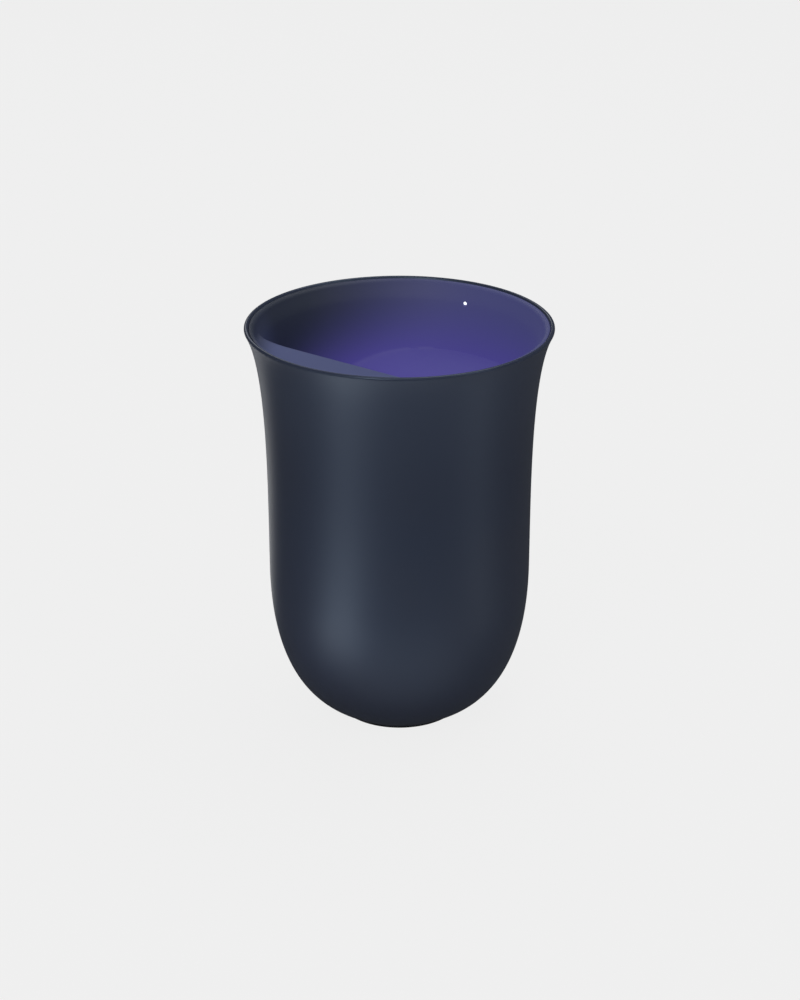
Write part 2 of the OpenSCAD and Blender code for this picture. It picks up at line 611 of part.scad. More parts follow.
module board_parts() translate([0, 0, board_top]) {
    black = [0.08, 0.08, 0.08];
    choke = [12, 12, 6.5];
    chip = [9, 9, 1];
    driver = [5, 6, 1.5];
    header = [7, 4, 3.8];
    resistor = [2, 1.2, 1];
    capacitors = [[0.235, 0.32, 4, 9], [0.53, 0.38, 3.2, 8]];
    color([0.2, 0.2, 0.2]) translate([-0.35 * main_r, 0.35 * main_r, 0])
        round_plate(choke[0], choke[1], choke[2], 2.5);
    color([0.15, 0.15, 0.3]) for (c = capacitors) translate([c[0] * main_r, c[1] * main_r, 0])
        cylinder(r = c[2], h = c[3], $fn = 32);
    color(black) board_box(0, 0, chip);
    color(black) board_box(0, 0.85, driver);
    color([0.9, 0.88, 0.8]) for (x = [-0.47, -0.12, 0.47]) board_box(x, -0.13, header);
    color([0.75, 0.6, 0.4]) for (x = [-0.24:0.12:0.24]) board_box(x, 0.62, resistor);
}

module board_screws() color(steel) at_points(board_posts) translate([0, 0, board_top])
    screw(small_shank_r, board_t + post_h + deck_t - 0.9 - screw_end, small_head_r, small_head_h);

module inlet_socket() color(steel) translate([0, inlet_face - inlet_l, inlet_z]) rotate([-90, 0, 0]) {
    metal = 0.35;
    back_t = 1.4;
    tongue = [inlet_w - 2.3, 0.7, inlet_l - 1];
    difference() {
        slot(inlet_w, inlet_h, inlet_l);
        translate([0, 0, back_t]) slot(inlet_w - 2 * metal, inlet_h - 2 * metal, inlet_l);
    }
    translate([0, 0, tongue[2] / 2 + 0.2]) cube(tongue, center = true);
}

// ---- button on the back ----
module button_board() color(circuit_green) at_button(button_board_y - board_t) difference() {
    round_plate(button_post_x * 2 + 8, button_board_h, board_t, 2);
    for (side = [-1, 1]) translate([side * button_post_x, 0, -1])
        cylinder(r = small_hole + fit, h = board_t + 2, $fn = 24);
}

module button_switch() color([0.1, 0.1, 0.1]) at_button(button_board_y) difference() {
    translate([0, 0, switch_h / 2]) cube([switch_w, switch_w, switch_h], center = true);
    translate([0, 0, switch_h - plunger_in - button_travel - 0.5])
        cylinder(r = plunger_r + fit, h = switch_h, $fn = 32);
}

module button_screws() color(steel) for (side = [-1, 1]) translate([side * button_post_x, 0, 0])
    at_button(button_board_y - board_t) rotate([180, 0, 0])
    screw(small_shank_r, board_t + button_thread, small_head_r, small_head_h);

module switch_plunger() color([0.85, 0.85, 0.85]) at_button(plunger_y - plunger_up - plunger_in)
    cylinder(r = plunger_r, h = plunger_up + plunger_in, $fn = 32);

module uv_button() color(navy) {
    at_button(plunger_y) cylinder(r = stem_r, h = stem_l + 0.2, $fn = 32);
    at_button(button_flange_y - button_flange_t) rotate_extrude($fn = 64) polygon([[0, 0],
        [button_flange_r, 0], [button_flange_r, button_flange_t], [button_r, button_flange_t],
        [button_r, button_l - 0.35], [button_r - 0.15, button_l - 0.1], [button_r - 0.5, button_l],
        [button_r * 0.55, button_l - dish * 0.7], [0, button_l - dish]]);
}

// ---- status light ----
module status_light_pipe() color("white") at_status() translate([0, 0, -liner_wall * cos(status_lean)])
    cylinder(r = status_d / 2, h = liner_wall * cos(status_lean) - 0.02, $fn = 24);

module status_led() color([0.95, 0.95, 0.8]) at_status()
    translate([-status_led_size[0] / 2, -status_led_size[1] / 2, status_pad - status_led_size[2]])
        cube(status_led_size);

module status_board() color([0.75, 0.5, 0.15]) at_status() translate([0, 0, status_pad])
    round_plate(6, 7, flex_t, 1);

// ---- base ----
module ballast_weight() color([0.5, 0.5, 0.52]) translate([0, 0, floor_top]) difference() {
    cylinder(r = shell_in(floor_top) - 2 * ballast_gap, h = deck_rise - slack, $fn = 96);
    translate([0, 0, -1])
        cylinder(r = base_screw_r + frame_post_r + ballast_gap, h = deck_rise + 2, $fn = 96);
}

base_head_z = cover_lift + head_h + 0.2;
module base_cover() color(navy) difference() {
    rotate_extrude($fn = 96) polygon([[0, cover_lift], [foot_out + 0.9, cover_lift],
        [base_r - slack, base_lift - 0.1], [base_r - slack, floor_under], [0, floor_under]]);
    rotate_extrude($fn = 96) translate([foot_in - 0.05, cover_lift - 1])
        square([foot_out - foot_in + 0.1, foot_groove + 1]);
    at_corners() translate([base_screw_r, 0, 0]) {
        cylinder(r = shank_hole + fit, h = floor_under * 2, $fn = 32);
        cylinder(r = head_r + slack, h = base_head_z, $fn = 32);
    }
}

module base_screws() color(steel) at_corners() translate([base_screw_r, 0, base_head_z]) rotate([180, 0, 0])
    screw(shank_r, floor_top - base_head_z + thread_l, head_r, head_h);

foot_edge = 0.4;    // bevel of the foot's edges
module foot_ring() color([0.08, 0.08, 0.09]) rotate_extrude($fn = 96) polygon([
    [foot_in, cover_lift + foot_groove], [foot_in, foot_edge], [foot_in + foot_edge, 0],
    [foot_out - foot_edge, 0], [foot_out, foot_edge], [foot_out, cover_lift + foot_groove]]);

outer_shell();
cavity_liner();
well_floor_pad();
uv_window();
uv_holder();
uv_led();
uv_board();
uv_heatsink();
uv_screws();
charge_coil();
ferrite_plate();
coil_carrier();
coil_screws();
inner_frame();
liner_screws();
main_board();
board_parts();
board_screws();
inlet_socket();
button_board();
button_switch();
button_screws();
switch_plunger();
uv_button();
status_light_pipe();
status_led();
status_board();
ballast_weight();
base_cover();
base_screws();
foot_ring();
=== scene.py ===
# %% [markdown]
# # A vase-shaped ultraviolet sanitizer
#
# The object is a tall bell: a soft-touch shell with a round bowl below and a flared rim above.
# Inside stands a second moulding, the liner. Its front is a sloping shelf, its back leans, and a
# lamp behind the front wall fills the well with violet light. Nearly all of the look comes from two
# smooth surfaces and from how softly they take the light, so this lesson builds both surfaces from
# formulas and spends its effort on exact curves, clean holes and quiet finishes.
#
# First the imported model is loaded. It fixes where every part sits: nothing here is placed by eye.

# %% Load the frame
import math

import bmesh
import bpy
import numpy as np
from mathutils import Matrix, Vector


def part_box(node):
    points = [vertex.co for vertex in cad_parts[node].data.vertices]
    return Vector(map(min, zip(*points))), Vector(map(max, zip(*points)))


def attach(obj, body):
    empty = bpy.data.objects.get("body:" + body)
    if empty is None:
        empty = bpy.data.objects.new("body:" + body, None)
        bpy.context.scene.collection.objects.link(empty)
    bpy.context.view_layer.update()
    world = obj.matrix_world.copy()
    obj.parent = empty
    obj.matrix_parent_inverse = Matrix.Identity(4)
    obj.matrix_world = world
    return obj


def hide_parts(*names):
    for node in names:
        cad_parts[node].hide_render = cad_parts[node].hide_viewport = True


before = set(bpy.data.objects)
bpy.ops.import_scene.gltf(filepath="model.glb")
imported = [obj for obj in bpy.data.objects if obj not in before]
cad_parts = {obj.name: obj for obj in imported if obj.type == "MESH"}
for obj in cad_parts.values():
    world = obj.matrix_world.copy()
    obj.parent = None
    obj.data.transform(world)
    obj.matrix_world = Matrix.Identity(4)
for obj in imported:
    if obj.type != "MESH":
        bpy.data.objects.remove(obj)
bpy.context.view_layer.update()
MM = 0.001

# %% [markdown]
# ## The camera
#
# A photograph of a round object holds its own camera: the rim's ellipse gives the eye's height,
# and the way the body narrows gives the distance. The lens is long, because the ellipses at the rim
# and at the base are nearly alike. The camera stands off to one side of the front, which is why the
# straight edge of the shelf runs across the picture at a slant.

# %% Place the camera
camera_turn = math.radians(37.0)
camera_pitch = math.radians(23.78)
camera_reach = 0.8855
camera_height = 0.4875
camera_side = 0.00025
lens_mm = 80.5


def linked(name, data):
    """A new object in the scene that shows this data."""
    item = bpy.data.objects.new(name, data)
    bpy.context.scene.collection.objects.link(item)
    return item


def make_camera():
    """A camera on a circle round the axis, turned to face the axis and pitched down."""
    data = bpy.data.cameras.new("camera")
    data.lens = lens_mm
    data.sensor_width = 36.0
    camera = linked("camera", data)
    across = (math.cos(camera_turn), math.sin(camera_turn))
    camera.location = (
        math.sin(camera_turn) * camera_reach + across[0] * camera_side,
        -math.cos(camera_turn) * camera_reach + across[1] * camera_side,
        camera_height,
    )
    camera.rotation_euler = (math.pi / 2 - camera_pitch, 0.0, camera_turn)
    bpy.context.scene.camera = camera
    return camera


camera = make_camera()
print("camera at", [round(value, 3) for value in camera.location])

# %% [markdown]
# ## Building a surface as arrays
#
# Every surface here is a table of points with one row for each step along a profile and one column
# for each step round the axis. Neighbouring points make a quad. Holes need care: a hole cut by a
# boolean leaves thin triangles that catch the light, so a small window of quads is left out,
# and the space between the window and the hole is filled with its own rings. The collector below
# keeps points and faces as arrays and turns them into one closed mesh at the end.


# %% A collector for grids, rings and caps
def joined(*parts):
    """Coordinates side by side along a new last axis, spread to one shape."""
    return np.stack(np.broadcast_arrays(*parts), axis=-1)


def finished(mesh, work, material, sharp):
    """An object from a mesh and its bmesh, smooth up to the sharp angle in degrees."""
    work.to_mesh(mesh)
    work.free()
    mesh.shade_smooth()
    mesh.set_sharp_from_angle(angle=math.radians(sharp))
    mesh.materials.append(material)
    return linked(mesh.name, mesh)


class Skin:
    """Points and faces gathered as arrays, then made into one mesh."""

    def __init__(self):
        self.points = []
        self.quads = []
        self.triangles = []
        self.count = 0

    def add_points(self, points):
        """Stores an array of points whose last axis is x, y, z, and returns their indices."""
        shape = points.shape[:-1]
        self.points.append(points.reshape(-1, 3))
        index = np.arange(self.count, self.count + int(np.prod(shape))).reshape(shape)
        self.count += index.size
        return index

    def add_grid(self, index, skip=None):
        """Quads between the rows of an index table that closes on itself along its second axis.
        skip marks the quads to leave out."""
        low, high = index[:-1], index[1:]
        quads = joined(low, np.roll(low, -1, 1), np.roll(high, -1, 1), high)
        if skip is not None:
            quads = quads[~skip]
        self.quads.append(quads.reshape(-1, 4))

    def add_cap(self, ring, middle):
        """A fan of triangles from a ring of indices to one point in the middle."""
        centre = self.add_points(np.asarray(middle, float).reshape(1, 3))[0]
        self.triangles.append(joined(ring, np.roll(ring, -1), centre))

    def make(self, name, material, sharp=40.0):
        """The finished mesh object, with outward normals and no loose points."""
        points = np.concatenate(self.points)
        faces = [face for block in self.quads + self.triangles for face in block.tolist()]
        mesh = bpy.data.meshes.new(name)
        mesh.from_pydata(points.tolist(), [], faces)
        work = bmesh.new()
        work.from_mesh(mesh)
        loose = [vertex for vertex in work.verts if not vertex.link_faces]
        bmesh.ops.delete(work, geom=loose, context="VERTS")
        bmesh.ops.recalc_face_normals(work, faces=work.faces)
        return finished(mesh, work, material, sharp)


def place(item, body, slot, *nodes):
    """Tells the frame which body a piece rides on and the nodes it stands for; slot, its finish, is
    not used.
    """
    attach(item, body)
    if nodes:
        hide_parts(*nodes)
    triangles = sum(len(face.vertices) - 2 for face in item.data.polygons)
    print(f"{item.name}: {triangles} triangles, rides on {body}")


def turned(profile, columns, phase=0.0):
    """A surface of revolution: each (radius, height) of the profile swept round the axis."""
    angle = 2 * np.pi * (np.arange(columns) / columns) + phase
    radius, height = profile[:, :1], profile[:, 1:2]
    return joined(radius * np.cos(angle), radius * np.sin(angle), height)


def bezier(points, share):
    """Points and unit directions of a cubic curve at the given shares of its length parameter."""
    a, b, c, d = (np.asarray(point, float) for point in points)
    t = np.asarray(share, float)[:, None]
    s = 1 - t
    curve = s**3 * a + 3 * s * s * t * b + 3 * s * t * t * c + t**3 * d
    slope = s * s * (b - a) + 2 * s * t * (c - b) + t * t * (d - c)
    return curve, slope / np.linalg.norm(slope, axis=1, keepdims=True)


def arc(middle, radius, start, end, steps):
    """Points on a circular arc in the (radius, height) plane, angles in degrees."""
    angle = np.radians(np.linspace(start, end, steps))
    return joined(middle[0] + radius * np.cos(angle), middle[1] + radius * np.sin(angle))


# %% [markdown]
# ## Nodes as arithmetic
#
# A procedural finish is arithmetic on positions. Python can write that arithmetic as plain
# expressions if a node's output is wrapped in a small class whose operators add Math nodes. Colours
# and vectors use their own nodes, because a Math node would turn a colour grey.


# %% Sockets that take operators
class Wire:
    """One output socket; its operators add Math nodes behind it."""

    def __init__(self, tree, socket):
        self.tree, self.socket = tree, socket

    def math(self, operation, first, second=0.0):
        return self.tree.add("ShaderNodeMath", {"operation": operation}, {0: first, 1: second})

    def __add__(self, other):
        return self.math("ADD", self, other)

    def __mul__(self, other):
        return self.math("MULTIPLY", self, other)

    __radd__, __rmul__ = __add__, __mul__

    def __sub__(self, other):
        return self.math("SUBTRACT", self, other)

    def __rsub__(self, other):
        return self.math("SUBTRACT", other, self)

    def __pow__(self, other):
        return self.math("POWER", self, other)

    def size(self):
        """The value without its sign."""
        return self.math("ABSOLUTE", self)

    def sine(self):
        return self.math("SINE", self)

    def step(self, low, high):
        """Smooth change from 0 at low to 1 at high."""
        return self.tree.add(
            "ShaderNodeMapRange",
            {"interpolation_type": "SMOOTHSTEP"},
            {"Value": self, "From Min": low, "From Max": high, "To Min": 0.0, "To Max": 1.0},
        )


class Tree:
    """The nodes of a material or of the world, added by one method."""

    def __init__(self, owner):
        owner.use_nodes = True
        self.nodes, self.links = owner.node_tree.nodes, owner.node_tree.links

    def add(self, kind, settings, sockets, output=0):
        """A node of that type: settings first, then the values or links of its sockets."""
        node = self.nodes.new(kind)
        for key, value in settings.items():
            setattr(node, key, value)
        for key, value in sockets.items():
            if isinstance(value, Wire):
                self.links.new(value.socket, node.inputs[key])
            else:
                node.inputs[key].default_value = value
        return Wire(self, node.outputs[output]) if output is not None else None


class Paint(Tree):
    """A material with one shader, whose patterns read the object's own coordinates."""

    def __init__(self, name, color, roughness, **constants):
        self.material = bpy.data.materials.new(name)
        super().__init__(self.material)
        self.shader = self.nodes["Principled BSDF"]
        self.shader.inputs["Base Color"].default_value = (*color, 1.0)
        self.shader.inputs["Roughness"].default_value = roughness
        for socket, value in constants.items():
            self.shader.inputs[socket.replace("_", " ")].default_value = value
        self.position = self.add("ShaderNodeTexCoord", {}, {}, "Object")

    def axis(self, letter):
        """One coordinate of the position, in metres."""
        return self.add("ShaderNodeSeparateXYZ", {}, {0: self.position}, letter.upper())

    def noise(self, scale, detail=2.0, roughness=0.5):
        """Noise from 0 to 1 with that many features to the metre."""
        size = {"Scale": scale, "Detail": detail, "Roughness": roughness}
        return self.add("ShaderNodeTexNoise", {}, {"Vector": self.position, **size}, "Fac")

    def mix(self, share, first, second):
        """A colour between two colours."""
        pair = [value if isinstance(value, Wire) else (*value, 1.0) for value in (first, second)]
        sockets = {0: share, 6: pair[0], 7: pair[1]}
        return self.add("ShaderNodeMix", {"data_type": "RGBA"}, sockets, 2)

    def set(self, socket, wire):
        self.links.new(wire.socket, self.shader.inputs[socket])

    def bump(self, height, depth, strength=1.0):
        """Relief of that depth in metres, from a height between 0 and 1."""
        sockets = {"Height": height, "Distance": depth, "Strength": strength}
        self.set("Normal", self.add("ShaderNodeBump", {}, sockets, "Normal"))


# %% [markdown]
# ## The finishes
#
# The shell is painted with a dark blue soft-touch paint. Such a paint is matt but not dead: it has
# a very fine orange-peel, its gloss drifts a little where it was handled, the flare is a shade
# paler as painted light, where it takes more light, and the lip is polished. The liner is the same
# family of blue, moulded satin. The lamp's violet light on it is painted light: emission that
# depends on where a point lies in the well, so it stays on the model under any light. It deepens
# with the depth, fades out at the well's foot, and is a colder blue painted highlight on the shelf,
# which faces up.

# %% Soft-touch paint and moulded plastics
NAVY = (0.0205, 0.0262, 0.0490)
NAVY_WARM = (0.0226, 0.0270, 0.0475)
# painted light: the flare's paler tone, where it takes more light
NAVY_FLARE_PAINTED_LIGHT = (0.0275, 0.0345, 0.0600)
SHEEN_TINT = (0.60, 0.78, 1.0, 1.0)
SLATE = (0.027, 0.036, 0.060)
SLATE_DEEP = (0.024, 0.032, 0.054)
DARK = (0.0, 0.0, 0.0)
# painted light: the lamp's violet light on the liner, given as emission
PAINTED_LAMP_LIGHT_AT_RIM = (0.036, 0.035, 0.124)
PAINTED_LAMP_LIGHT_DEEP = (0.060, 0.038, 0.278)
# painted highlight: the light on the shelf, which faces up, given as emission
PAINTED_HIGHLIGHT_ON_SHELF = (0.036, 0.044, 0.120)
# where something begins and where it is full, in metres up (z) or along a direction
# heights of the flare's painted light
FLARE_PAINTED_LIGHT_UP = (0.115, 0.168)
LIP_POLISH_UP = (0.1768, 0.1776)
# where the liner's painted lamp light pales upwards, fades at the foot and faces the lamp
PAINTED_LAMP_LIGHT_PALER_UP = (0.118, 0.179)
PAINTED_LAMP_LIGHT_FOOT_UP = (0.029, 0.045)
PAINTED_LAMP_LIGHT_BACKWARDS = (-0.03, 0.055)
# where the painted highlight on the shelf lies
SHELF_UP = (0.150, 0.172)
SHELF_END_BACKWARDS = (-0.045, -0.012)
SHELF_OFF_THE_WALL = (-0.063, -0.049)
LAMP_SPOT = (0.0015, 0.0075)
LAMP_UP = 0.150


def soft_touch_paint():
    paint = Paint("soft_touch_paint", NAVY, 0.5, Specular_Tint=SHEEN_TINT)
    drift = paint.noise(14.0, 3.0).step(0.35, 0.68)
    z = paint.axis("z")
    body = paint.mix(drift, NAVY, NAVY_WARM)
    # painted light: the flare is painted a shade paler towards the lip, where it takes more light
    paint.set("Base Color", paint.mix(z.step(*FLARE_PAINTED_LIGHT_UP), body, NAVY_FLARE_PAINTED_LIGHT))
    handled = paint.noise(38.0, 4.0, 0.6)
    polished_lip = z.step(*LIP_POLISH_UP)
    paint.set("Roughness", 0.465 + 0.06 * handled - 0.24 * polished_lip)
    peel = paint.noise(1400.0, 2.0) * 0.6 + paint.noise(4200.0, 1.0) * 0.4
    paint.bump(peel, 0.00002, 0.35)
    return paint.material


def satin_liner():
    paint = Paint("satin_liner", SLATE, 0.55, Specular_IOR_Level=0.35, Emission_Strength=1.0)
    drift = paint.noise(20.0, 3.0).step(0.3, 0.7)
    paint.set("Base Color", paint.mix(drift, SLATE, SLATE_DEEP))
    paint.set("Roughness", 0.52 + 0.07 * paint.noise(60.0, 3.0))
    x, y, z = (paint.axis(letter) for letter in "xyz")
    # painted lamp light: violet emission where the lamp's light falls, deeper down the well, none
    # away from the lamp or at the well's foot
    depth = 1 - z.step(*PAINTED_LAMP_LIGHT_PALER_UP)
    reached = (0.6 * x + 0.8 * y + 0.06 * depth).step(*PAINTED_LAMP_LIGHT_BACKWARDS) * z.step(*PAINTED_LAMP_LIGHT_FOOT_UP)
    painted_lamp_light = paint.mix(reached, DARK, paint.mix(depth, PAINTED_LAMP_LIGHT_AT_RIM, PAINTED_LAMP_LIGHT_DEEP))
    # painted highlight: a colder blue emission on the shelf, which faces up to the light
    off_the_wall = (0.8 * x + 0.6 * y).step(*SHELF_OFF_THE_WALL)
    on_shelf = z.step(*SHELF_UP) * (1 - y.step(*SHELF_END_BACKWARDS)) * off_the_wall
    paint.set("Emission Color", paint.mix(on_shelf, painted_lamp_light, PAINTED_HIGHLIGHT_ON_SHELF))
    paint.bump(paint.noise(2300.0, 2.0), 0.000015, 0.35)
    return paint.material


def moulded(name, color, roughness, grain=1800.0, **constants):
    """A moulded plastic or rubber with a fine spark-eroded grain."""
    paint = Paint(name, color, roughness, **constants)
    shade = tuple(value * 0.86 for value in color)
    paint.set("Base Color", paint.mix(paint.noise(45.0, 3.0), color, shade))
    paint.set("Roughness", roughness - 0.04 + 0.08 * paint.noise(90.0, 2.0))
    paint.bump(paint.noise(grain, 2.0), 0.00003, 0.4)
    return paint.material


def metal(name, color, roughness, streak=900.0):
    """A plated or turned metal with fine streaks round its axis."""
    paint = Paint(name, color, roughness, Metallic=1.0)
    rings = paint.add(
        "ShaderNodeTexWave",
        {"wave_type": "RINGS", "rings_direction": "Z"},
        {"Vector": paint.position, "Scale": streak, "Distortion": 2.0, "Detail": 2.0},
        "Fac",
    )
    dull = tuple(value * 0.8 for value in color)
    paint.set("Base Color", paint.mix(paint.noise(120.0, 3.0), color, dull))
    paint.set("Roughness", roughness + 0.12 * rings)
    paint.bump(rings, 0.000008, 0.3)
    return paint.material


def lit(name, color, strength):
    """A part that gives light of its own, a little brighter in its middle than at its rim."""
    paint = Paint(name, color, 0.25, Emission_Strength=strength)
    facing = paint.add("ShaderNodeLayerWeight", {}, {"Blend": 0.35}, "Facing")
    rim = tuple(value * 0.7 for value in color)
    paint.set("Emission Color", paint.mix(facing, color, rim))
    paint.set("Roughness", 0.2 + 0.1 * paint.noise(600.0))
    return paint.material


def circuit():
    """Green solder mask over copper tracks that run in two directions."""
    paint = Paint("solder_mask", (0.008, 0.07, 0.035), 0.3, Coat_Weight=0.3)
    across, along = ((paint.axis(letter) * 780.0).sine() for letter in "xy")
    field = paint.noise(160.0, 1.0).step(0.48, 0.52)
    tracks = (field * across + (1 - field) * along).step(0.35, 0.6)
    paint.set("Base Color", paint.mix(tracks, (0.006, 0.055, 0.028), (0.014, 0.11, 0.05)))
    paint.bump(tracks, 0.00004, 0.5)
    return paint.material


def copper():
    paint = Paint("enamelled_copper", (0.62, 0.24, 0.1), 0.32, Metallic=0.9, Coat_Weight=0.6)
    bright, dark = (0.66, 0.27, 0.12), (0.5, 0.17, 0.07)
    paint.set("Base Color", paint.mix(paint.noise(300.0, 2.0), bright, dark))
    paint.bump(paint.noise(2600.0, 2.0), 0.00003, 0.5)
    return paint.material


def window_glass():
    paint = Paint("window_glass", (0.55, 0.5, 0.9), 0.06, IOR=1.46, Emission_Strength=1.0)
    # painted light: the glass is given the lamp's violet light as emission, brightest over the lamp
    across, up = paint.axis("x"), paint.axis("z") - LAMP_UP
    reach = (across * across + up * up) ** 0.5
    bright = 1 - reach.step(*LAMP_SPOT)
    paint.set("Emission Color", paint.mix(bright, (0.05, 0.025, 0.3), (0.42, 0.3, 1.6)))
    paint.set("Alpha", 0.75 + 0.2 * bright)
    paint.set("Roughness", 0.05 + 0.05 * paint.noise(240.0, 3.0))
    return paint.material


FINISH = {
    "shell": soft_touch_paint(),
    "liner": satin_liner(),
    "pad": moulded("pad_silicone", (0.016, 0.016, 0.021), 0.72, Specular_IOR_Level=0.35),
    "foot": moulded("foot_rubber", (0.012, 0.012, 0.013), 0.8, 2600.0, Specular_IOR_Level=0.3),
    "black": moulded("black_plastic", (0.022, 0.022, 0.024), 0.5),
    "frame": moulded("frame_plastic", (0.06, 0.06, 0.065), 0.55),
    "pale": moulded("pale_plastic", (0.55, 0.55, 0.57), 0.5),
    "ferrite": moulded("ferrite", (0.03, 0.03, 0.033), 0.62, 3200.0),
    "flex": moulded("flex_laminate", (0.36, 0.15, 0.03), 0.35),
    "aluminium": metal("blasted_aluminium", (0.72, 0.73, 0.75), 0.38),
    "steel": metal("zinc_plate", (0.6, 0.6, 0.62), 0.28),
    "iron": metal("oiled_steel", (0.2, 0.2, 0.21), 0.4, 500.0),
    "gold": metal("contact_gold", (0.85, 0.6, 0.22), 0.22),
    "circuit": circuit(),
    "copper": copper(),
    "glass": window_glass(),
    "lamp": lit("lamp_chip", (0.55, 0.42, 1.0), 4.0),
    "white": lit("status_white", (0.92, 0.96, 1.0), 1.35),
}
print("finishes:", len(FINISH))

# %% [markdown]
# ## The outline of the shell
#
# Two cubic curves describe the whole side of the body. The lower one leaves the base nearly flat
# and climbs round the bowl into the straight wall. The upper one leaves the wall upright, stays
# almost straight, and leans out more and more until it meets the round lip. The inner face is the
# same curve moved inwards along its normals, so the wall has one thickness.

# %% Driving dimensions of the shell
rim_radius = 65.0 * MM
total_height = 178.0 * MM
body_radius = 56.7 * MM
base_radius = 30.0 * MM
base_lift = 2.9 * MM
bowl_belly = 15.5 * MM
bowl_top = 68.4 * MM
flare_start = 76.0 * MM
flare_lean = math.radians(28.0)
flare_hold = 2.29
shell_wall = 1.8 * MM
floor_wall = 2.0 * MM
floor_top = 6.7 * MM
floor_under = 4.7 * MM
lip_radius = shell_wall / 2
lip_middle = np.array([rim_radius - lip_radius, total_height - lip_radius])
flare_end = lip_middle + lip_radius * np.array([math.cos(flare_lean), -math.sin(flare_lean)])
flare_reach = flare_hold * (rim_radius - body_radius)
flare_back = flare_end - flare_reach * np.array([math.sin(flare_lean), math.cos(flare_lean)])
bowl_curve = [
    (base_radius, base_lift),
    (base_radius + bowl_belly, base_lift + 0.46 * bowl_belly),
    (body_radius, 0.43 * bowl_top),
    (body_radius, bowl_top),
]
flare_curve = [
    (body_radius, flare_start),
    (body_radius, flare_start + 0.32 * (total_height - flare_start)),
    flare_back,
    flare_end,
]


def shell_side(inset):
    """Profile of one face of the wall, from the base to the lip, moved inwards by inset."""
    sides = []
    for curve, steps in ((bowl_curve, bowl_steps), (flare_curve, flare_steps)):
        side, way = bezier(curve, np.linspace(0, 1, steps))
        sides.append(side + inset * joined(-way[:, 1], way[:, 0]))
    bowl, flare = sides
    share = np.linspace(0, 1, straight_steps + 2)[1:-1, None]
    straight = bowl[-1] + share * (flare[0] - bowl[-1])
    return np.concatenate([bowl, straight, flare])


bowl_steps, straight_steps, flare_steps = 66, 6, 78
outer_side = shell_side(0.0)
inner_side = shell_side(shell_wall)
lean = math.degrees(flare_lean)
lip_arc = arc(lip_middle, lip_radius, -lean, 180 - lean, 14)[1:-1]


def outer_radius(height):
    return np.interp(height, outer_side[:, 1], outer_side[:, 0])


def inner_radius(height):
    """Radius of the shell's inner face; above the wall's end the lip takes over."""
    heights = np.append(inner_side[:, 1], lip_middle[1])
    radii = np.append(inner_side[:, 0], lip_middle[0] - lip_radius)
    return np.interp(height, heights, radii)


print("widest and narrowest outer radius in mm:", outer_side[:, 0].max() / MM, body_radius / MM)

# %% [markdown]
# ## Holes without booleans
#
# A hole is described on the plane across its axis. Both faces of the wall lose a window of quads
# round it. Each border point of a window is drawn straight towards the middle until it meets the
# hole's outline, and the surface's own formula lifts the points in between back onto the surface.
# The same number of points then runs round the hole's edge and down its wall, ring after ring.


# %% One face of a wall, with its windows
class Face:
    """One face of a wall: its table of points, and a mask of the quads that holes take out."""

    def __init__(self, skin, points):
        self.points = points
        self.index = skin.add_points(points)
        self.mask = np.zeros((len(points) - 1, points.shape[1]), bool)

    def window(self, hole, half_width, half_height):
        """First and last row and column of the smallest window with this much room round a hole."""
        flat = hole.flatten(self.points)
        inside = (self.points - hole.middle) @ hole.outward > 0
        inside &= (np.abs(flat[..., 0]) < half_width) & (np.abs(flat[..., 1]) < half_height)
        rows, columns = np.where(inside.any(1))[0], np.where(inside.any(0))[0]
        return rows[0] - 1, rows[-1] + 1, columns[0] - 1, columns[-1] + 1

    def take_out(self, window, tall, wide):
        """Widens a window to that many rows and columns, masks its quads, and returns its border as
        one loop of indices and one of points."""
        row = min(window[0] - (tall - window[1] + window[0]) // 2, len(self.points) - 1 - tall)
        column = window[2] - (wide - window[3] + window[2]) // 2
        self.mask[row : row + tall, column : column + wide] = True
        top, end = row + tall, column + wide
        return [
            np.concatenate(
                [
                    table[row, column:end],
                    table[row:top, end],
                    table[top, end:column:-1],
                    table[top:row:-1, column],
                ]
            )
            for table in (self.index, self.points)
        ]


# %% Holes and their outlines
def polar(reach, angle):
    """Points on a plane at those distances and angles from its middle."""
    return reach[:, None] * joined(np.cos(angle), np.sin(angle))


def drawn_in(edge, distance):
    """An outline drawn towards its middle by a distance, for the rounded edge of a hole."""
    return edge * (1 - distance / np.linalg.norm(edge, axis=-1, keepdims=True))


def round_reach(radius):
    """Distance from the middle of a circle to its outline, the same at every angle."""
    return lambda angle: np.full_like(angle, radius)


def slot_reach(angle, half_width, half_height):
    """Distance from the middle of a slot with round ends to its outline, at that angle."""
    run = half_width - half_height
    c, s = np.abs(np.cos(angle)), np.abs(np.sin(angle))
    flat = half_height / np.maximum(s, 1e-9)
    end = run * c + np.sqrt(np.maximum(half_height**2 - (run * s) ** 2, 0.0))
    return np.where(flat * c <= run, flat, end)


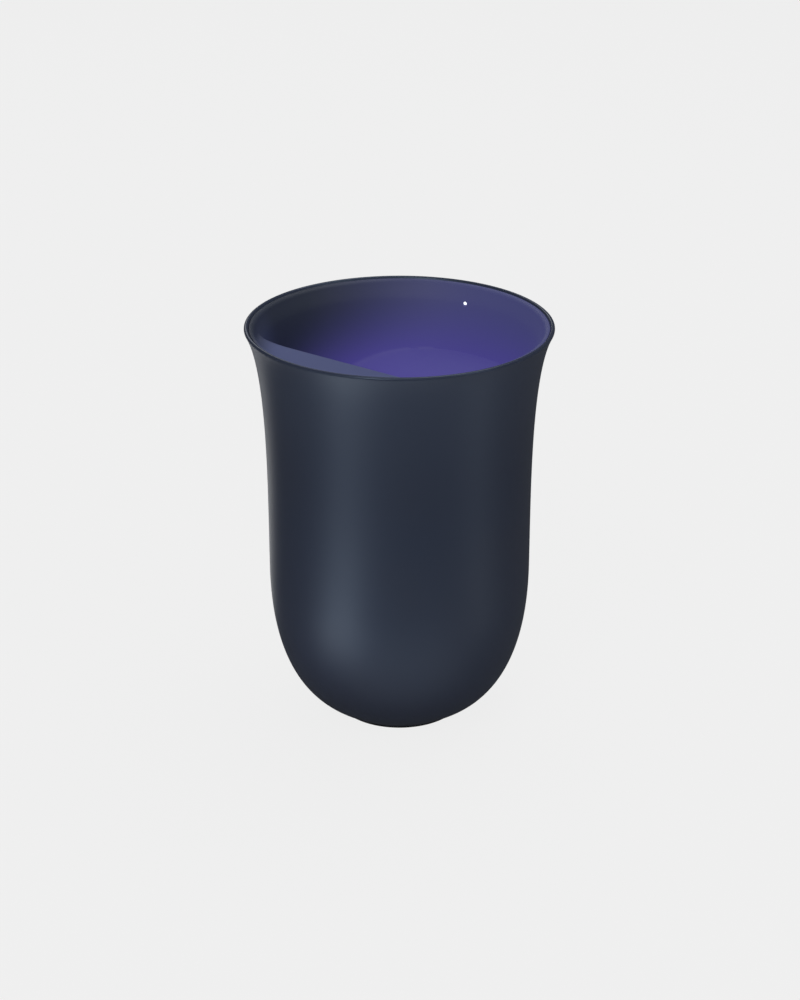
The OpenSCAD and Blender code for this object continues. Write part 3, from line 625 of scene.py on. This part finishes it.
class Hole:
    """An axis that points out of the object, as a middle point and a turn about z."""

    def __init__(self, middle, turn):
        self.middle = np.asarray(middle, float)
        self.across = np.array([math.cos(turn), math.sin(turn), 0.0])
        self.outward = np.array([math.sin(turn), -math.cos(turn), 0.0])

    def flatten(self, points):
        """(across, up) of each point, seen along the hole's axis."""
        offset = points - self.middle
        return joined(offset @ self.across, offset[..., 2])

    def lift(self, flat, depth):
        """Points from (across, up) and their distance outwards from the middle."""
        depth = np.broadcast_to(depth, flat.shape[:-1])
        sideways = flat[..., :1] * self.across + depth[..., None] * self.outward
        return self.middle + sideways + flat[..., 1:] * np.array([0.0, 0.0, 1.0])

    def fill(self, skin, loop, loop_points, edge, depth_of, steps):
        """Rings from a window's border to the hole's edge, on the surface depth_of describes."""
        flat = self.flatten(loop_points)
        share = np.linspace(0, 1, steps + 1)[1:, None, None] ** 0.85
        rings = flat + share * (edge - flat)
        index = skin.add_points(self.lift(rings, depth_of(rings)))
        skin.add_grid(np.concatenate([loop[None], index]))
        return index[-1]


def revolved(hole, radius_of):
    """Depth along a hole's axis of a surface of revolution whose radius depends on the height."""
    return lambda flat: np.sqrt(radius_of(hole.middle[2] + flat[..., 1]) ** 2 - flat[..., 0] ** 2)


def open_hole(skin, hole, near, far, room, reach, rounding, recess=None):
    """Joins two faces of a wall by a hole. near and far are a face and the function that gives its
    depth along the hole's axis. Rings run from the near window to the outline, round its edge, down
    the wall and any recess, and out again to the far window."""
    windows = [face.window(hole, *room) for face, _ in (near, far)]
    tall = max(window[1] - window[0] for window in windows)
    wide = max(window[3] - window[2] for window in windows)
    near_loop, near_points = near[0].take_out(windows[0], tall, wide)
    far_loop, far_points = far[0].take_out(windows[1], tall, wide)
    flat = hole.flatten(near_points)
    angle = np.arctan2(flat[:, 1], flat[:, 0])
    edge = polar(reach(angle), angle)
    rim = drawn_in(edge, -rounding)
    last = hole.fill(skin, near_loop, near_points, rim, near[1], 6)
    inwards = np.sign(far[1](rim) - near[1](rim))
    rings = []
    for a in np.radians([18.0, 36.0, 54.0, 72.0, 90.0]):
        depth = near[1](rim) + inwards * rounding * (1 - math.cos(a))
        rings.append((drawn_in(edge, -rounding * (1 - math.sin(a))), depth))
    rings += recess(edge, angle) if recess else []
    wall = skin.add_points(np.stack([hole.lift(*ring) for ring in rings]))
    skin.add_grid(np.concatenate([last[None], wall]))
    out = hole.fill(skin, far_loop, far_points, rings[-1][0], far[1], 3)
    skin.add_grid(np.stack([wall[-1], out]))


# %% [markdown]
# ## The shell
#
# The back of the shell has two openings: a round one in which the button slides, and low down a
# shallow slot-shaped recess with the power inlet in its floor. Both are built with the window
# method, with a small rounded edge like the one a mould leaves.

# %% Build the shell
columns = 288
front_first = -math.pi / 2
button_height = 72.0 * MM
button_low, button_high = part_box("uv_button")
socket_low, socket_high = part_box("inlet_socket")
inlet_height = (socket_low.z + socket_high.z) / 2
inlet_half_w = (socket_high.x - socket_low.x) / 2
inlet_half_h = (socket_high.z - socket_low.z) / 2
recess_floor = float(outer_radius(inlet_height)) - 1.0 * MM
recess_rim = 2.2 * MM
recess_round = 0.3 * MM


def recess_reach(angle):
    return slot_reach(angle, inlet_half_w + recess_rim, inlet_half_h + recess_rim)


def inlet_recess(edge, angle):
    """Rings of the recess: down its wall, round its foot, and along its floor to the opening."""
    foot = [
        (drawn_in(edge, draw * recess_round), recess_floor + rise * recess_round)
        for draw, rise in ((0.0, 1.0), (0.3, 0.3), (1.0, 0.0))
    ]
    opening = slot_reach(angle, inlet_half_w + 0.3 * MM, inlet_half_h + 0.3 * MM)
    return foot + [(polar(opening, angle), recess_floor)]


def build_shell():
    skin = Skin()
    outer = Face(skin, turned(outer_side, columns, front_first))
    above_floor = inner_side[inner_side[:, 1] > floor_top]
    inner = Face(skin, turned(above_floor, columns, front_first))
    holes = [
        # height, room across and up, reach of the outline, rounding, recess
        (button_height, (6.8 * MM, 6.2 * MM), round_reach(4.8 * MM), 0.25 * MM, None),
        (inlet_height, (8.6 * MM, 5.6 * MM), recess_reach, recess_round, inlet_recess),
    ]
    for height, room, reach, rounding, recess in holes:
        hole = Hole((0.0, 0.0, height), math.pi)
        near = (outer, revolved(hole, outer_radius))
        far = (inner, revolved(hole, inner_radius))
        open_hole(skin, hole, near, far, room, reach, rounding, recess)
    skin.add_grid(outer.index, outer.mask)
    skin.add_grid(inner.index, inner.mask)
    lip = skin.add_points(turned(lip_arc, columns, front_first))
    skin.add_grid(np.concatenate([outer.index[-1:], lip, inner.index[-1:]]))
    for edge, radius, height in (
        (inner.index[0], above_floor[0, 0], floor_top),
        (outer.index[0], base_radius, floor_under),
    ):
        flat = np.array([[radius * share, height] for share in (1.0, 0.98, 0.7, 0.4, 0.15)])
        floor = skin.add_points(turned(flat, columns, front_first))
        skin.add_grid(np.concatenate([edge[None], floor]))
        skin.add_cap(floor[-1], (0.0, 0.0, height))
    return skin.make("shell_body", FINISH["shell"])


place(build_shell(), "housing", "soft_touch_shell", "outer_shell")

# %% [markdown]
# ## The liner
#
# At every height the well is a circle cut by two straight walls, one in front and one behind. The
# walls and the circle are joined by a smooth minimum: it equals the smaller of two distances where
# they differ a lot, and rounds the corner where they are nearly equal. The front wall's distance is
# huge at the rim, comes in along a gentle slope, which makes the shelf, and drops away steeply. The
# back wall leans, so a device rests against it, and opens into a funnel near the top.

# %% Driving dimensions of the liner
liner_wall = 1.6 * MM
rim_gap = 0.3 * MM
body_gap = 1.2 * MM
liner_top = total_height - 0.8 * MM
liner_lip = 1.2 * MM
well_floor = 31.0 * MM
front_foot = 30.0 * MM
front_top = 37.6 * MM
shelf_depth = 8.5 * MM
shelf_slope = math.radians(10.0)
shelf_round = 3.5 * MM
back_lean = math.radians(15.5)
back_foot = 11.7 * MM
funnel_height = total_height - 48.0 * MM
corner_blend = 12.0 * MM
floor_round = 3.0 * MM
floor_middle = (front_foot + back_foot) / 2
lamp_height = total_height - 28.0 * MM
status_height = total_height - 8.5 * MM
status_turn = math.radians(7.0)


def back_plane(height):
    return (height - well_floor) * math.tan(back_lean) - back_foot


arc_middle = (front_top + shelf_round, total_height - shelf_depth)
shelf_bend = np.radians(np.linspace(90.0, math.degrees(shelf_slope), 24))
bend_out = arc_middle[0] - shelf_round * np.sin(shelf_bend)
bend_up = arc_middle[1] + shelf_round * np.cos(shelf_bend)
shelf_end = 88.0 * MM
front_heights = np.concatenate(
    [[well_floor], bend_up, [bend_up[-1] + (shelf_end - bend_out[-1]) * math.tan(shelf_slope)]]
)
front_depths = np.concatenate([[front_foot], bend_out, [shelf_end]])
funnel, _ = bezier(
    [
        (back_plane(funnel_height), funnel_height),
        (back_plane(funnel_height + 8 * MM), funnel_height + 8 * MM),
        (0.6 * body_radius, funnel_height + 13 * MM),
        (1.2 * body_radius, funnel_height + 22 * MM),
    ],
    np.linspace(0, 1, 60),
)
back_heights = np.concatenate([[well_floor], funnel[:, 1]])
back_depths = np.concatenate([[back_plane(well_floor)], funnel[:, 0]])


def smooth_share(value):
    value = np.clip(value, 0.0, 1.0)
    return value * value * (3 - 2 * value)


def liner_outside(height):
    """Radius of the liner's outer skin: the shell's inner face less a gap, closed at the rim."""
    closing = smooth_share((liner_top - 1 * MM - height) / (7 * MM))
    return inner_radius(height) - rim_gap - (body_gap - rim_gap) * closing


def liner_inside(height):
    """Radius of the visible skin; its top edge rolls outwards over the lip's radius."""
    rise = np.clip(height - (liner_top - liner_lip), 0.0, liner_lip)
    opened = liner_lip - np.sqrt(np.maximum(liner_lip**2 - rise**2, 0.0))
    return liner_outside(height) - liner_wall + opened


def smooth_minimum(first, second, width):
    """The smaller of two distances, with the corner between them rounded over a width."""
    near = np.maximum(0.0, width - np.abs(first - second)) / width
    return np.minimum(first, second) - near * near * width / 4


def wall_for(radius, wanted):
    """The wall distance whose smooth minimum with the circle's radius is the wanted distance."""
    short = np.maximum(radius - wanted, 0.0)
    blended = radius + corner_blend - np.sqrt(4 * corner_blend * short)
    return np.where(short >= corner_blend, wanted, blended)


def depth_share(height):
    top = funnel_height + 20 * MM
    return np.clip((top - height) / (top - well_floor), 0.0, 1.0)


def well_points(heights, columns, thickness, inset):
    """One row of points for each height: the circle and the two walls, thickness outside the
    visible skin and drawn in by inset."""
    z = heights[:, None]
    inset = inset[:, None]
    radius = (liner_outside(z) if thickness > 0 else liner_inside(z)) - inset
    front = np.interp(z + thickness, front_heights, front_depths) + thickness - inset
    back = np.interp(z + thickness, back_heights, back_depths) + thickness - inset
    front = wall_for(radius, np.minimum(radius, front))
    back = wall_for(radius, np.minimum(radius, back))
    middle = -floor_middle * depth_share(z)
    turn = 2 * np.pi * (np.arange(columns) + 0.5) / columns
    angle = np.arctan2((1 - 0.65 * depth_share(z)) * np.sin(turn), np.cos(turn) + 0 * z)
    sine, cosine = np.sin(angle), np.cos(angle)
    circle = -middle * sine + np.sqrt(radius**2 - (middle * cosine) ** 2)
    away = np.where(sine > 0, back - middle, -(front + middle))
    wall = away / np.where(np.abs(sine) < 1e-9, 1e-9, sine)
    reach = smooth_minimum(circle, wall, corner_blend)
    return joined(reach * cosine, middle + reach * sine, z)


# %% [markdown]
# The visible skin gets many rows where it bends: at the floor's rounding, through the funnel, round
# the edge of the shelf and over the lip. The window for the lamp and the small hole for the status
# light are opened with the same method as on the shell.

# %% Build the liner
liner_columns = 264


def even(low, high, steps):
    return np.linspace(low, high, steps, endpoint=False)


def inset_at(heights, foot, rounding):
    """How far the rounding at the floor draws a wall in."""
    drop = np.clip(foot + rounding - heights, 0.0, rounding)
    return rounding - np.sqrt(np.maximum(rounding**2 - drop**2, 0.0))


inside_heights = np.concatenate(
    [
        well_floor + floor_round * (1 - np.cos(np.linspace(0, np.pi / 2, 9)[:-1])),
        even(34 * MM, 116 * MM, 16),
        even(116 * MM, funnel_height, 6),
        even(funnel_height, funnel_height + 22 * MM, 30),
        even(funnel_height + 22 * MM, arc_middle[1], 14),
        bend_up[:-1],
        even(bend_up[-1], liner_top - liner_lip, 20),
        liner_top - liner_lip * (1 - np.sin(np.linspace(0, np.pi / 2, 8))),
    ]
)
outside_heights = np.concatenate(
    [
        well_floor - floor_wall + 4 * MM * (1 - np.cos(np.linspace(0, np.pi / 2, 5)[:-1])),
        even(33 * MM, funnel_height - 2 * MM, 14),
        even(funnel_height - 2 * MM, funnel_height + 18 * MM, 12),
        even(funnel_height + 18 * MM, 167 * MM, 9),
        even(167 * MM, liner_top, 12),
        [liner_top],
    ]
)


def front_wall(hole, thickness):
    """Depth along the lamp's axis of the front wall, which only depends on the height."""

    def depth(flat):
        height = hole.middle[2] + flat[..., 1]
        return np.interp(height + thickness, front_heights, front_depths) + thickness

    return depth


def build_liner():
    skin = Skin()
    inset = inset_at(inside_heights, well_floor, floor_round)
    visible = Face(skin, well_points(inside_heights, liner_columns, 0.0, inset))
    inset = inset_at(outside_heights, well_floor - floor_wall, floor_round + 1 * MM)
    hidden = Face(skin, well_points(outside_heights, liner_columns, liner_wall, inset))
    lamp = Hole((0.0, 0.0, lamp_height), 0.0)
    near, far = (visible, front_wall(lamp, 0.0)), (hidden, front_wall(lamp, liner_wall))
    open_hole(skin, lamp, near, far, (10.4 * MM, 10.4 * MM), round_reach(8.0 * MM), 0.4 * MM)
    light = Hole((0.0, 0.0, status_height), math.pi + status_turn)
    near, far = (visible, revolved(light, liner_inside)), (hidden, revolved(light, liner_outside))
    open_hole(skin, light, near, far, (2.1 * MM, 2.1 * MM), round_reach(0.9 * MM), 0.15 * MM)
    skin.add_grid(visible.index, visible.mask)
    skin.add_grid(hidden.index, hidden.mask)
    skin.add_grid(np.stack([visible.index[-1], hidden.index[-1]]))
    for face, height in ((visible, well_floor), (hidden, well_floor - floor_wall)):
        middle = np.array([0.0, -floor_middle, height])
        shares = np.array([0.75, 0.5, 0.25, 0.08])[:, None, None]
        floor = skin.add_points(middle + (face.points[0] - middle) * shares)
        skin.add_grid(np.concatenate([face.index[:1], floor]))
        skin.add_cap(floor[-1], middle)
    return skin.make("well_liner", FINISH["liner"])


place(build_liner(), "housing", "liner_satin", "cavity_liner")

# %% [markdown]
# ## The small pieces that show
#
# The pad on the well's floor is soft silicone with fine grooves that keep a device from sliding.
# The button is a shallow dish with a rounded rim. The window is a ground glass disc, the status
# light a tiny dome. Each is a profile turned about its own axis, except the pad, which is a slot
# outline filled with rings.


# %% Turned parts on any axis
def turned_part(name, profile, material, columns, sharp, move):
    """A closed part turned about z from a profile that starts and ends on the axis, then moved."""
    skin = Skin()
    profile = np.asarray(profile, float)
    index = skin.add_points(move(turned(profile[1:-1], columns)))
    skin.add_grid(index)
    for ring, height in ((index[0], profile[0, 1]), (index[-1], profile[-1, 1])):
        skin.add_cap(ring, move(np.array([0.0, 0.0, height])))
    return skin.make(name, material, sharp)


def along(middle, outward):
    """A move that carries the z axis of a turned part onto a direction through a middle point."""
    outward = np.asarray(outward, float) / np.linalg.norm(outward)
    side = np.cross([0.0, 0.0, 1.0], outward)
    side = side / np.linalg.norm(side)
    up = np.cross(outward, side)
    return lambda points: points @ np.stack([side, up, outward]) + np.asarray(middle, float)


def dished_button():
    """A flange, a straight skirt, a rounded rim and a shallow dish that reads under a finger."""
    radius, flange_radius, stem = 4.7 * MM, (button_high.x - button_low.x) / 2, 2.0 * MM
    bevel, rim_round = 0.1 * MM, 0.45 * MM
    flange_foot, flange_top, top = 0.4 * MM, 1.8 * MM, button_high.y - button_low.y
    dish_r = np.linspace(radius - 0.75 * MM, 0.25 * MM, 14)
    dish = joined(dish_r, top - rim_round * (1 - (dish_r / (radius - rim_round)) ** 2) ** 0.8)
    profile = [
        (0.0, 0.0),
        (stem, 0.0),
        (stem, flange_foot),
        (flange_radius - bevel, flange_foot),
        (flange_radius, flange_foot + bevel),
        (flange_radius, flange_top - bevel),
        (flange_radius - bevel, flange_top),
        (radius + 0.02 * MM, flange_top),
        (radius, flange_top + bevel),
        *arc((radius - rim_round, top - rim_round), rim_round, 0, 90, 8),
        *dish,
        (0.0, dish[-1, 1]),
    ]
    move = along((0.0, button_low.y, button_height), (0, 1, 0))
    return turned_part("button_cap", profile, FINISH["shell"], 128, 35.0, move)


place(dished_button(), "button", "soft_touch_shell", "uv_button")


def grooved_pad():
    """A slot outline filled with rings: a rounded edge, then a flat top with straight grooves. A
    groove's depth falls smoothly to nothing at its sides and at its ends."""
    low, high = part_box("well_floor_pad")
    half_w, half_d = (high.x - low.x) / 2, (high.y - low.y) / 2
    middle = (high.x + low.x) / 2, (high.y + low.y) / 2
    # points at even steps along the outline of a slot with round ends
    run, bend = half_w - half_d, math.pi * half_d
    along_edge = np.arange(760) / 760 * 2 * (2 * run + bend)
    part = along_edge % (2 * run + bend)
    turn = np.where(part < 2 * run, 0.0, (part - 2 * run) / half_d)
    x = np.where(part < 2 * run, run - part, -run - half_d * np.sin(turn))
    y = np.where(part < 2 * run, half_d, half_d * np.cos(turn))
    side = np.where(along_edge < 2 * run + bend, 1.0, -1.0)
    outline = joined(x * side, y * side)
    core = joined(np.clip(outline[:, 0], -run, run), 0.0)

    def ring(share, height):
        flat = core + (outline - core) * share
        return joined(middle[0] + flat[:, 0], middle[1] + flat[:, 1], height)

    edge = 0.45 * MM
    rows = [ring(1 - edge * 0.4 / half_d, low.z), ring(1.0, low.z + 0.15 * MM)]
    for a in np.radians([0, 22.5, 45, 67.5, 90]):
        rows.append(ring(1 - edge * (1 - math.cos(a)) / half_d, high.z - edge + edge * math.sin(a)))
    pitch, groove_half, groove_end, groove_deep = 4.0 * MM, 0.7 * MM, 4.3 * MM, 0.3 * MM
    for share in (0.88, 0.84, 0.81, 0.785, 0.76, 0.73, 0.66, 0.5, 0.3, 0.1, 0.0):
        flat = ring(share, high.z)
        across = np.abs((flat[:, 0] - middle[0]) % pitch - pitch / 2)
        narrow = 1 - smooth_share((across - groove_half + 0.2 * MM) / (0.35 * MM))
        ended = 1 - smooth_share((share * half_d - groove_end + 0.15 * MM) / (0.3 * MM))
        flat[:, 2] -= groove_deep * narrow * ended * (np.abs(flat[:, 0] - middle[0]) <= run)
        rows.append(flat)
    skin = Skin()
    index = skin.add_points(np.stack(rows))
    skin.add_grid(index)
    under = skin.add_points(np.stack([ring(share, low.z) for share in (0.6, 0.0)]))
    skin.add_grid(np.concatenate([index[:1], under]))
    return skin.make("grooved_pad", FINISH["pad"], 50.0)


place(grooved_pad(), "housing", "pad_rubber", "well_floor_pad")


def ground_window():
    """A flanged disc: a polished face with a narrow ground bevel, then the flange behind it."""
    low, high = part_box("uv_window")
    radius, flange_radius = 7.7 * MM, (high.x - low.x) / 2
    depth = high.y - low.y
    flange_top = depth - 1.7 * MM
    bevel, flange_bevel = 0.35 * MM, 0.15 * MM
    profile = [
        (0.0, 0.0),
        (radius - bevel - 1.2 * MM, 0.0),
        (radius - bevel, 0.0),
        (radius - bevel * 0.3, bevel * 0.3),
        (radius, bevel),
        (radius, flange_top),
        (flange_radius - flange_bevel, flange_top),
        (flange_radius, flange_top + flange_bevel),
        (flange_radius, depth),
        (0.0, depth),
    ]
    move = along((0.0, high.y, lamp_height), (0, -1, 0))
    return turned_part("lamp_window", profile, FINISH["glass"], 96, 30.0, move)


place(ground_window(), "housing", "lamp_glass", "uv_window")


def status_dome():
    """A short rod with a low dome that stands a hair proud of the wall."""
    radius, length = 0.72 * MM, liner_wall * 0.95
    dome = arc((0.0, length - 0.75 * MM), radius, 18, 86, 10)
    dome[:, 1] = length + 0.22 * MM * np.sin(np.linspace(0, np.pi / 2, 10)) - 0.12 * MM
    profile = [(0.0, 0.0), (radius, 0.0), *dome, (0.0, dome[-1, 1])]
    above, below = (float(liner_outside(status_height + rise)) for rise in (MM, -MM))
    lean = math.atan2(above - below, 2 * MM)
    sine, cosine = math.sin(status_turn), math.cos(status_turn)
    inward = (sine * math.cos(lean), -cosine * math.cos(lean), math.sin(lean))
    radius_out = float(liner_outside(status_height))
    base = (-sine * radius_out, cosine * radius_out, status_height)
    return turned_part("status_dome", profile, FINISH["white"], 40, 40.0, along(base, inward))


place(status_dome(), "housing", "light_guide", "status_light_pipe")

# %% [markdown]
# ## The inlet and the foot
#
# The socket is a folded steel tube with a rounded mouth. A thin tongue inside carries gold contacts
# on both faces. The foot is a rubber ring with two fine grooves, and the cover it sits in keeps the
# model's own shape.


# %% The inlet socket and its tongue
def slot_ring(inset, depth):
    """The socket's outline, drawn in by an inset, across the y axis at one depth."""
    angle = 2 * np.pi * np.arange(72) / 72
    reach = slot_reach(angle, inlet_half_w - inset, inlet_half_h - inset)
    return joined(reach * np.cos(angle), depth, inlet_height + reach * np.sin(angle))


def folded_socket():
    """A tube with a closed back. Its wall turns over at the mouth in a half circle."""
    wall, fold = 0.35 * MM, 0.18 * MM
    back, front, inside = socket_low.y, socket_high.y, socket_low.y + 1.4 * MM
    bend = np.radians([0, 30, 60, 90, 120, 150])
    insets = [0.0, *(wall / 2 * (1 - np.cos(bend))), wall, wall]
    depths = [back, *(front - fold * (1 - np.sin(bend))), front - 0.2 * MM, inside]
    skin = Skin()
    index = skin.add_points(np.stack([slot_ring(*row) for row in zip(insets, depths)]))
    skin.add_grid(index)
    skin.add_cap(index[0], (0.0, back, inlet_height))
    skin.add_cap(index[-1], (0.0, inside, inlet_height))
    return skin.make("inlet_shell", FINISH["steel"], 50.0)


def rounded_bar(name, low, high, material, bevel):
    """A bar with bevelled edges, from its two corners."""
    work = bmesh.new()
    bmesh.ops.create_cube(work, size=1.0)
    bmesh.ops.scale(work, vec=np.subtract(high, low).tolist(), verts=work.verts)
    bmesh.ops.translate(work, vec=(np.add(high, low) / 2).tolist(), verts=work.verts)
    bmesh.ops.bevel(work, geom=work.edges[:], offset=bevel, segments=2, affect="EDGES")
    return finished(bpy.data.meshes.new(name), work, material, 40.0)


place(folded_socket(), "housing", "inlet_steel", "inlet_socket")
tongue_back, tongue_front = socket_low.y + 1.2 * MM, socket_high.y - 0.8 * MM
tongue_half_w, tongue_half_h = 3.3 * MM, 0.35 * MM
contact_pitch, contact_half_w, contact_half_h = 0.5 * MM, 0.14 * MM, 0.03 * MM
tongue = rounded_bar(
    "inlet_tongue",
    (-tongue_half_w, tongue_back, inlet_height - tongue_half_h),
    (tongue_half_w, tongue_front, inlet_height + tongue_half_h),
    FINISH["black"],
    0.12 * MM,
)
place(tongue, "housing", "component_black")
for side, level in ((-1, "lower"), (1, "upper")):
    for number in range(12):
        x, z = (number - 5.5) * contact_pitch, inlet_height + side * tongue_half_h
        strip = rounded_bar(
            f"inlet_contact_{level}_{number + 1}",
            (x - contact_half_w, tongue_back + 1.2 * MM, z - contact_half_h),
            (x + contact_half_w, tongue_front - 0.4 * MM, z + contact_half_h),
            FINISH["gold"],
            0.01 * MM,
        )
        place(strip, "housing", "inlet_steel")


# %% The foot ring
def grooved_foot():
    """A ring with rounded lower edges and two grooves, each one wave of a cosine deep."""
    low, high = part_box("foot_ring")
    outer, inner = (high.x - low.x) / 2, 22.0 * MM
    rounding, from_edge, groove_half, groove_deep = 0.4 * MM, 1.6 * MM, 0.45 * MM, 0.18 * MM
    across = np.linspace(groove_half, -groove_half, 9)
    dip = groove_deep * (0.5 + 0.5 * np.cos(across / groove_half * np.pi))
    profile = [
        (outer, high.z),
        *arc((outer - rounding, rounding), rounding, 0, -90, 7),
        *joined(outer - from_edge + across, dip),
        *joined(inner + from_edge + across, dip),
        *arc((inner + rounding, rounding), rounding, -90, -180, 7),
        (inner, high.z),
    ]
    skin = Skin()
    index = skin.add_points(turned(np.asarray(profile, float), 192))
    skin.add_grid(np.concatenate([index, index[:1]]))
    return skin.make("foot_tread", FINISH["foot"], 40.0)


place(grooved_foot(), "housing", "foot_rubber", "foot_ring")

# %% [markdown]
# ## The nodes that keep the model's own shape
#
# Boards, screws, the coil and the other inner pieces already have their right form in the model.
# Each only gets a finish. The base cover shows from below and wears the shell's paint.

# %% Dress the remaining nodes
NODES_IN = {
    "aluminium": "uv_heatsink",
    "black": "uv_holder board_parts button_switch",
    "circuit": "uv_board main_board button_board",
    "copper": "charge_coil",
    "ferrite": "ferrite_plate",
    "flex": "status_board",
    "frame": "inner_frame",
    "iron": "ballast_weight",
    "lamp": "uv_led status_led",
    "pale": "coil_carrier switch_plunger",
    "shell": "base_cover",
    "steel": "uv_screws coil_screws liner_screws board_screws button_screws base_screws",
}


def dress(node, finish):
    """Puts one finish on every material slot of a node's object."""
    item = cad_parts[node]
    item.data.materials.clear()
    item.data.materials.append(FINISH[finish])
    for face in item.data.polygons:
        face.material_index = 0


for finish, nodes in NODES_IN.items():
    for node in nodes.split():
        dress(node, finish)
    print(f"{finish}: {nodes}")

# %% [markdown]
# ## Floor, background and light
#
# The picture has one pale grey all over: the camera sees floor and sky in that grey, with a soft
# shadow where the foot stands. The shell mirrors something else. A satin wall that is seen from
# above mirrors the floor, so its upright highlights are soft bright strips on the floor, which only
# mirrored rays see. Their distance from the axis sets at which height the wall shows them. The sky
# is dim in mirrored rays, and four weak soft boxes give the plain light that colours are judged by.

# %% Light the scene
PALE = 0.872  # the background's grey, as the camera sees it
SKY_LIGHT = 0.46  # the level that lights the piece
SKY_MIRRORED = 0.06  # the level in mirrored rays
SKY_AHEAD = 0.3  # more of it low in front
SKY_TURN = (0.45, -0.9)  # the way that counts as front, as x and y
SKY_EDGE = (0.2, 0.8)  # how far that way the brighter part begins and is full
STRIP_EDGE = (0.4, 1.6)  # where a strip begins to fade and ends, in shares of its half width
FLOOR_OWN = (0.95, 0.9, 0.5)  # how much of the floor is its own grey, by kind of ray
# strips on the floor: turn in degrees from the front, half the width in metres, and how much the
# level changes between two distances from the axis
STRIPS = (
    (-7.0, 0.038, ((0.10, 0.15, 6.2), (0.18, 0.25, -4.8), (0.5, 0.9, -1.4))),
    (100.0, 0.038, ((0.12, 0.18, 1.2), (0.5, 0.9, -1.2))),
    (37.0, 0.10, ((0.045, 0.09, 0.7), (0.09, 0.12, 0.4), (0.14, 0.20, -1.1))),
    (254.0, 0.038, ((0.09, 0.15, 2.1), (0.5, 0.9, -2.1))),
)


class Surround(Tree):
    """The floor or the sky, which show each kind of ray a level of their own."""

    def __init__(self, owner):
        super().__init__(owner)
        self.nodes.clear()
        self.ray = {
            kind: self.add("ShaderNodeLightPath", {}, {}, f"Is {kind} Ray")
            for kind in ("Camera", "Transmission", "Glossy")
        }

    def by_ray(self, seen, mirrored, other):
        """One value for the camera's rays and those through glass, one for mirrored rays and one
        for all others."""
        indirect = other + (mirrored - other) * self.ray["Glossy"]
        return indirect + (self.ray["Camera"] + self.ray["Transmission"]) * (seen - indirect)


def make_floor():
    """A wide plane. The camera sees mostly its own grey, so that only a faint shadow is left on it.
    A strip's level is the sum of its changes, faded across its width."""
    mesh = bpy.data.meshes.new("floor")
    half = 6.0
    corners = [(-half, -half, 0.0), (half, -half, 0.0), (half, half, 0.0), (-half, half, 0.0)]
    mesh.from_pydata(corners, [], [(0, 1, 2, 3)])
    item = linked("floor", mesh)
    material = bpy.data.materials.new("floor_grey")
    tree = Surround(material)
    plain = tree.add("ShaderNodeBsdfDiffuse", {}, {"Color": (PALE, PALE, PALE, 1.0)})
    spot = tree.add("ShaderNodeTexCoord", {}, {}, "Object")
    x, y = (tree.add("ShaderNodeSeparateXYZ", {}, {0: spot}, letter) for letter in "XY")
    mirrored = SKY_MIRRORED
    for turn, half_width, changes in STRIPS:
        across, ahead = math.sin(math.radians(turn)), -math.cos(math.radians(turn))
        reach = x * across + y * ahead
        beside = (x * ahead - y * across).size()
        level = sum(change * reach.step(start, end) for start, end, change in changes)
        mirrored = mirrored + level * (1 - beside.step(*(edge * half_width for edge in STRIP_EDGE)))
    level = tree.by_ray(PALE, mirrored, SKY_LIGHT)
    grey = tree.add("ShaderNodeEmission", {}, {"Color": (1.0, 1.0, 1.0, 1.0), "Strength": level})
    mixed = tree.add("ShaderNodeMixShader", {}, {0: tree.by_ray(*FLOOR_OWN), 1: plain, 2: grey})
    tree.add("ShaderNodeOutputMaterial", {}, {"Surface": mixed}, output=None)
    mesh.materials.append(material)


def make_sky():
    """An even pale sky: grey to the camera, dim as a light. Mirrored rays see it nearly black,
    with a brighter part low in front that draws the edge of the lip."""
    world = bpy.data.worlds.new("studio")
    bpy.context.scene.world = world
    tree = Surround(world)
    ray = tree.add("ShaderNodeTexCoord", {}, {}, "Generated")
    x, y = (tree.add("ShaderNodeSeparateXYZ", {}, {0: ray}, letter) for letter in "XY")
    ahead = (x * SKY_TURN[0] + y * SKY_TURN[1]).step(*SKY_EDGE)
    level = tree.by_ray(PALE, SKY_MIRRORED + ahead * SKY_AHEAD, SKY_LIGHT)
    sockets = {"Color": (1.0, 1.0, 1.0, 1.0), "Strength": level}
    background = tree.add("ShaderNodeBackground", {}, sockets)
    tree.add("ShaderNodeOutputWorld", {}, {"Surface": background}, output=None)


def soft_box(name, turn, reach, height, size, power):
    """An area light on a circle round the axis, aimed at the middle of the body. turn is in degrees
    from the front, positive towards +X, as for the camera."""
    data = bpy.data.lights.new(name, "AREA")
    data.shape = "RECTANGLE"
    data.size, data.size_y = size
    data.energy = power
    item = linked(name, data)
    a = math.radians(turn)
    item.location = (math.sin(a) * reach, -math.cos(a) * reach, height)
    item.rotation_euler = (math.pi / 2 - math.atan2(height - total_height / 2, reach), 0.0, a)


make_floor()
make_sky()
soft_box("key_box", 15.0, 1.1, 0.95, (0.5, 0.8), 4.0)
soft_box("fill_box", 95.0, 1.3, 0.9, (0.5, 0.8), 1.5)
soft_box("back_box", 232.0, 1.3, 0.9, (0.5, 0.8), 1.5)
soft_box("top_box", 180.0, 0.5, 1.5, (1.0, 1.0), 6.5)
bpy.context.scene.view_settings.view_transform = "Standard"
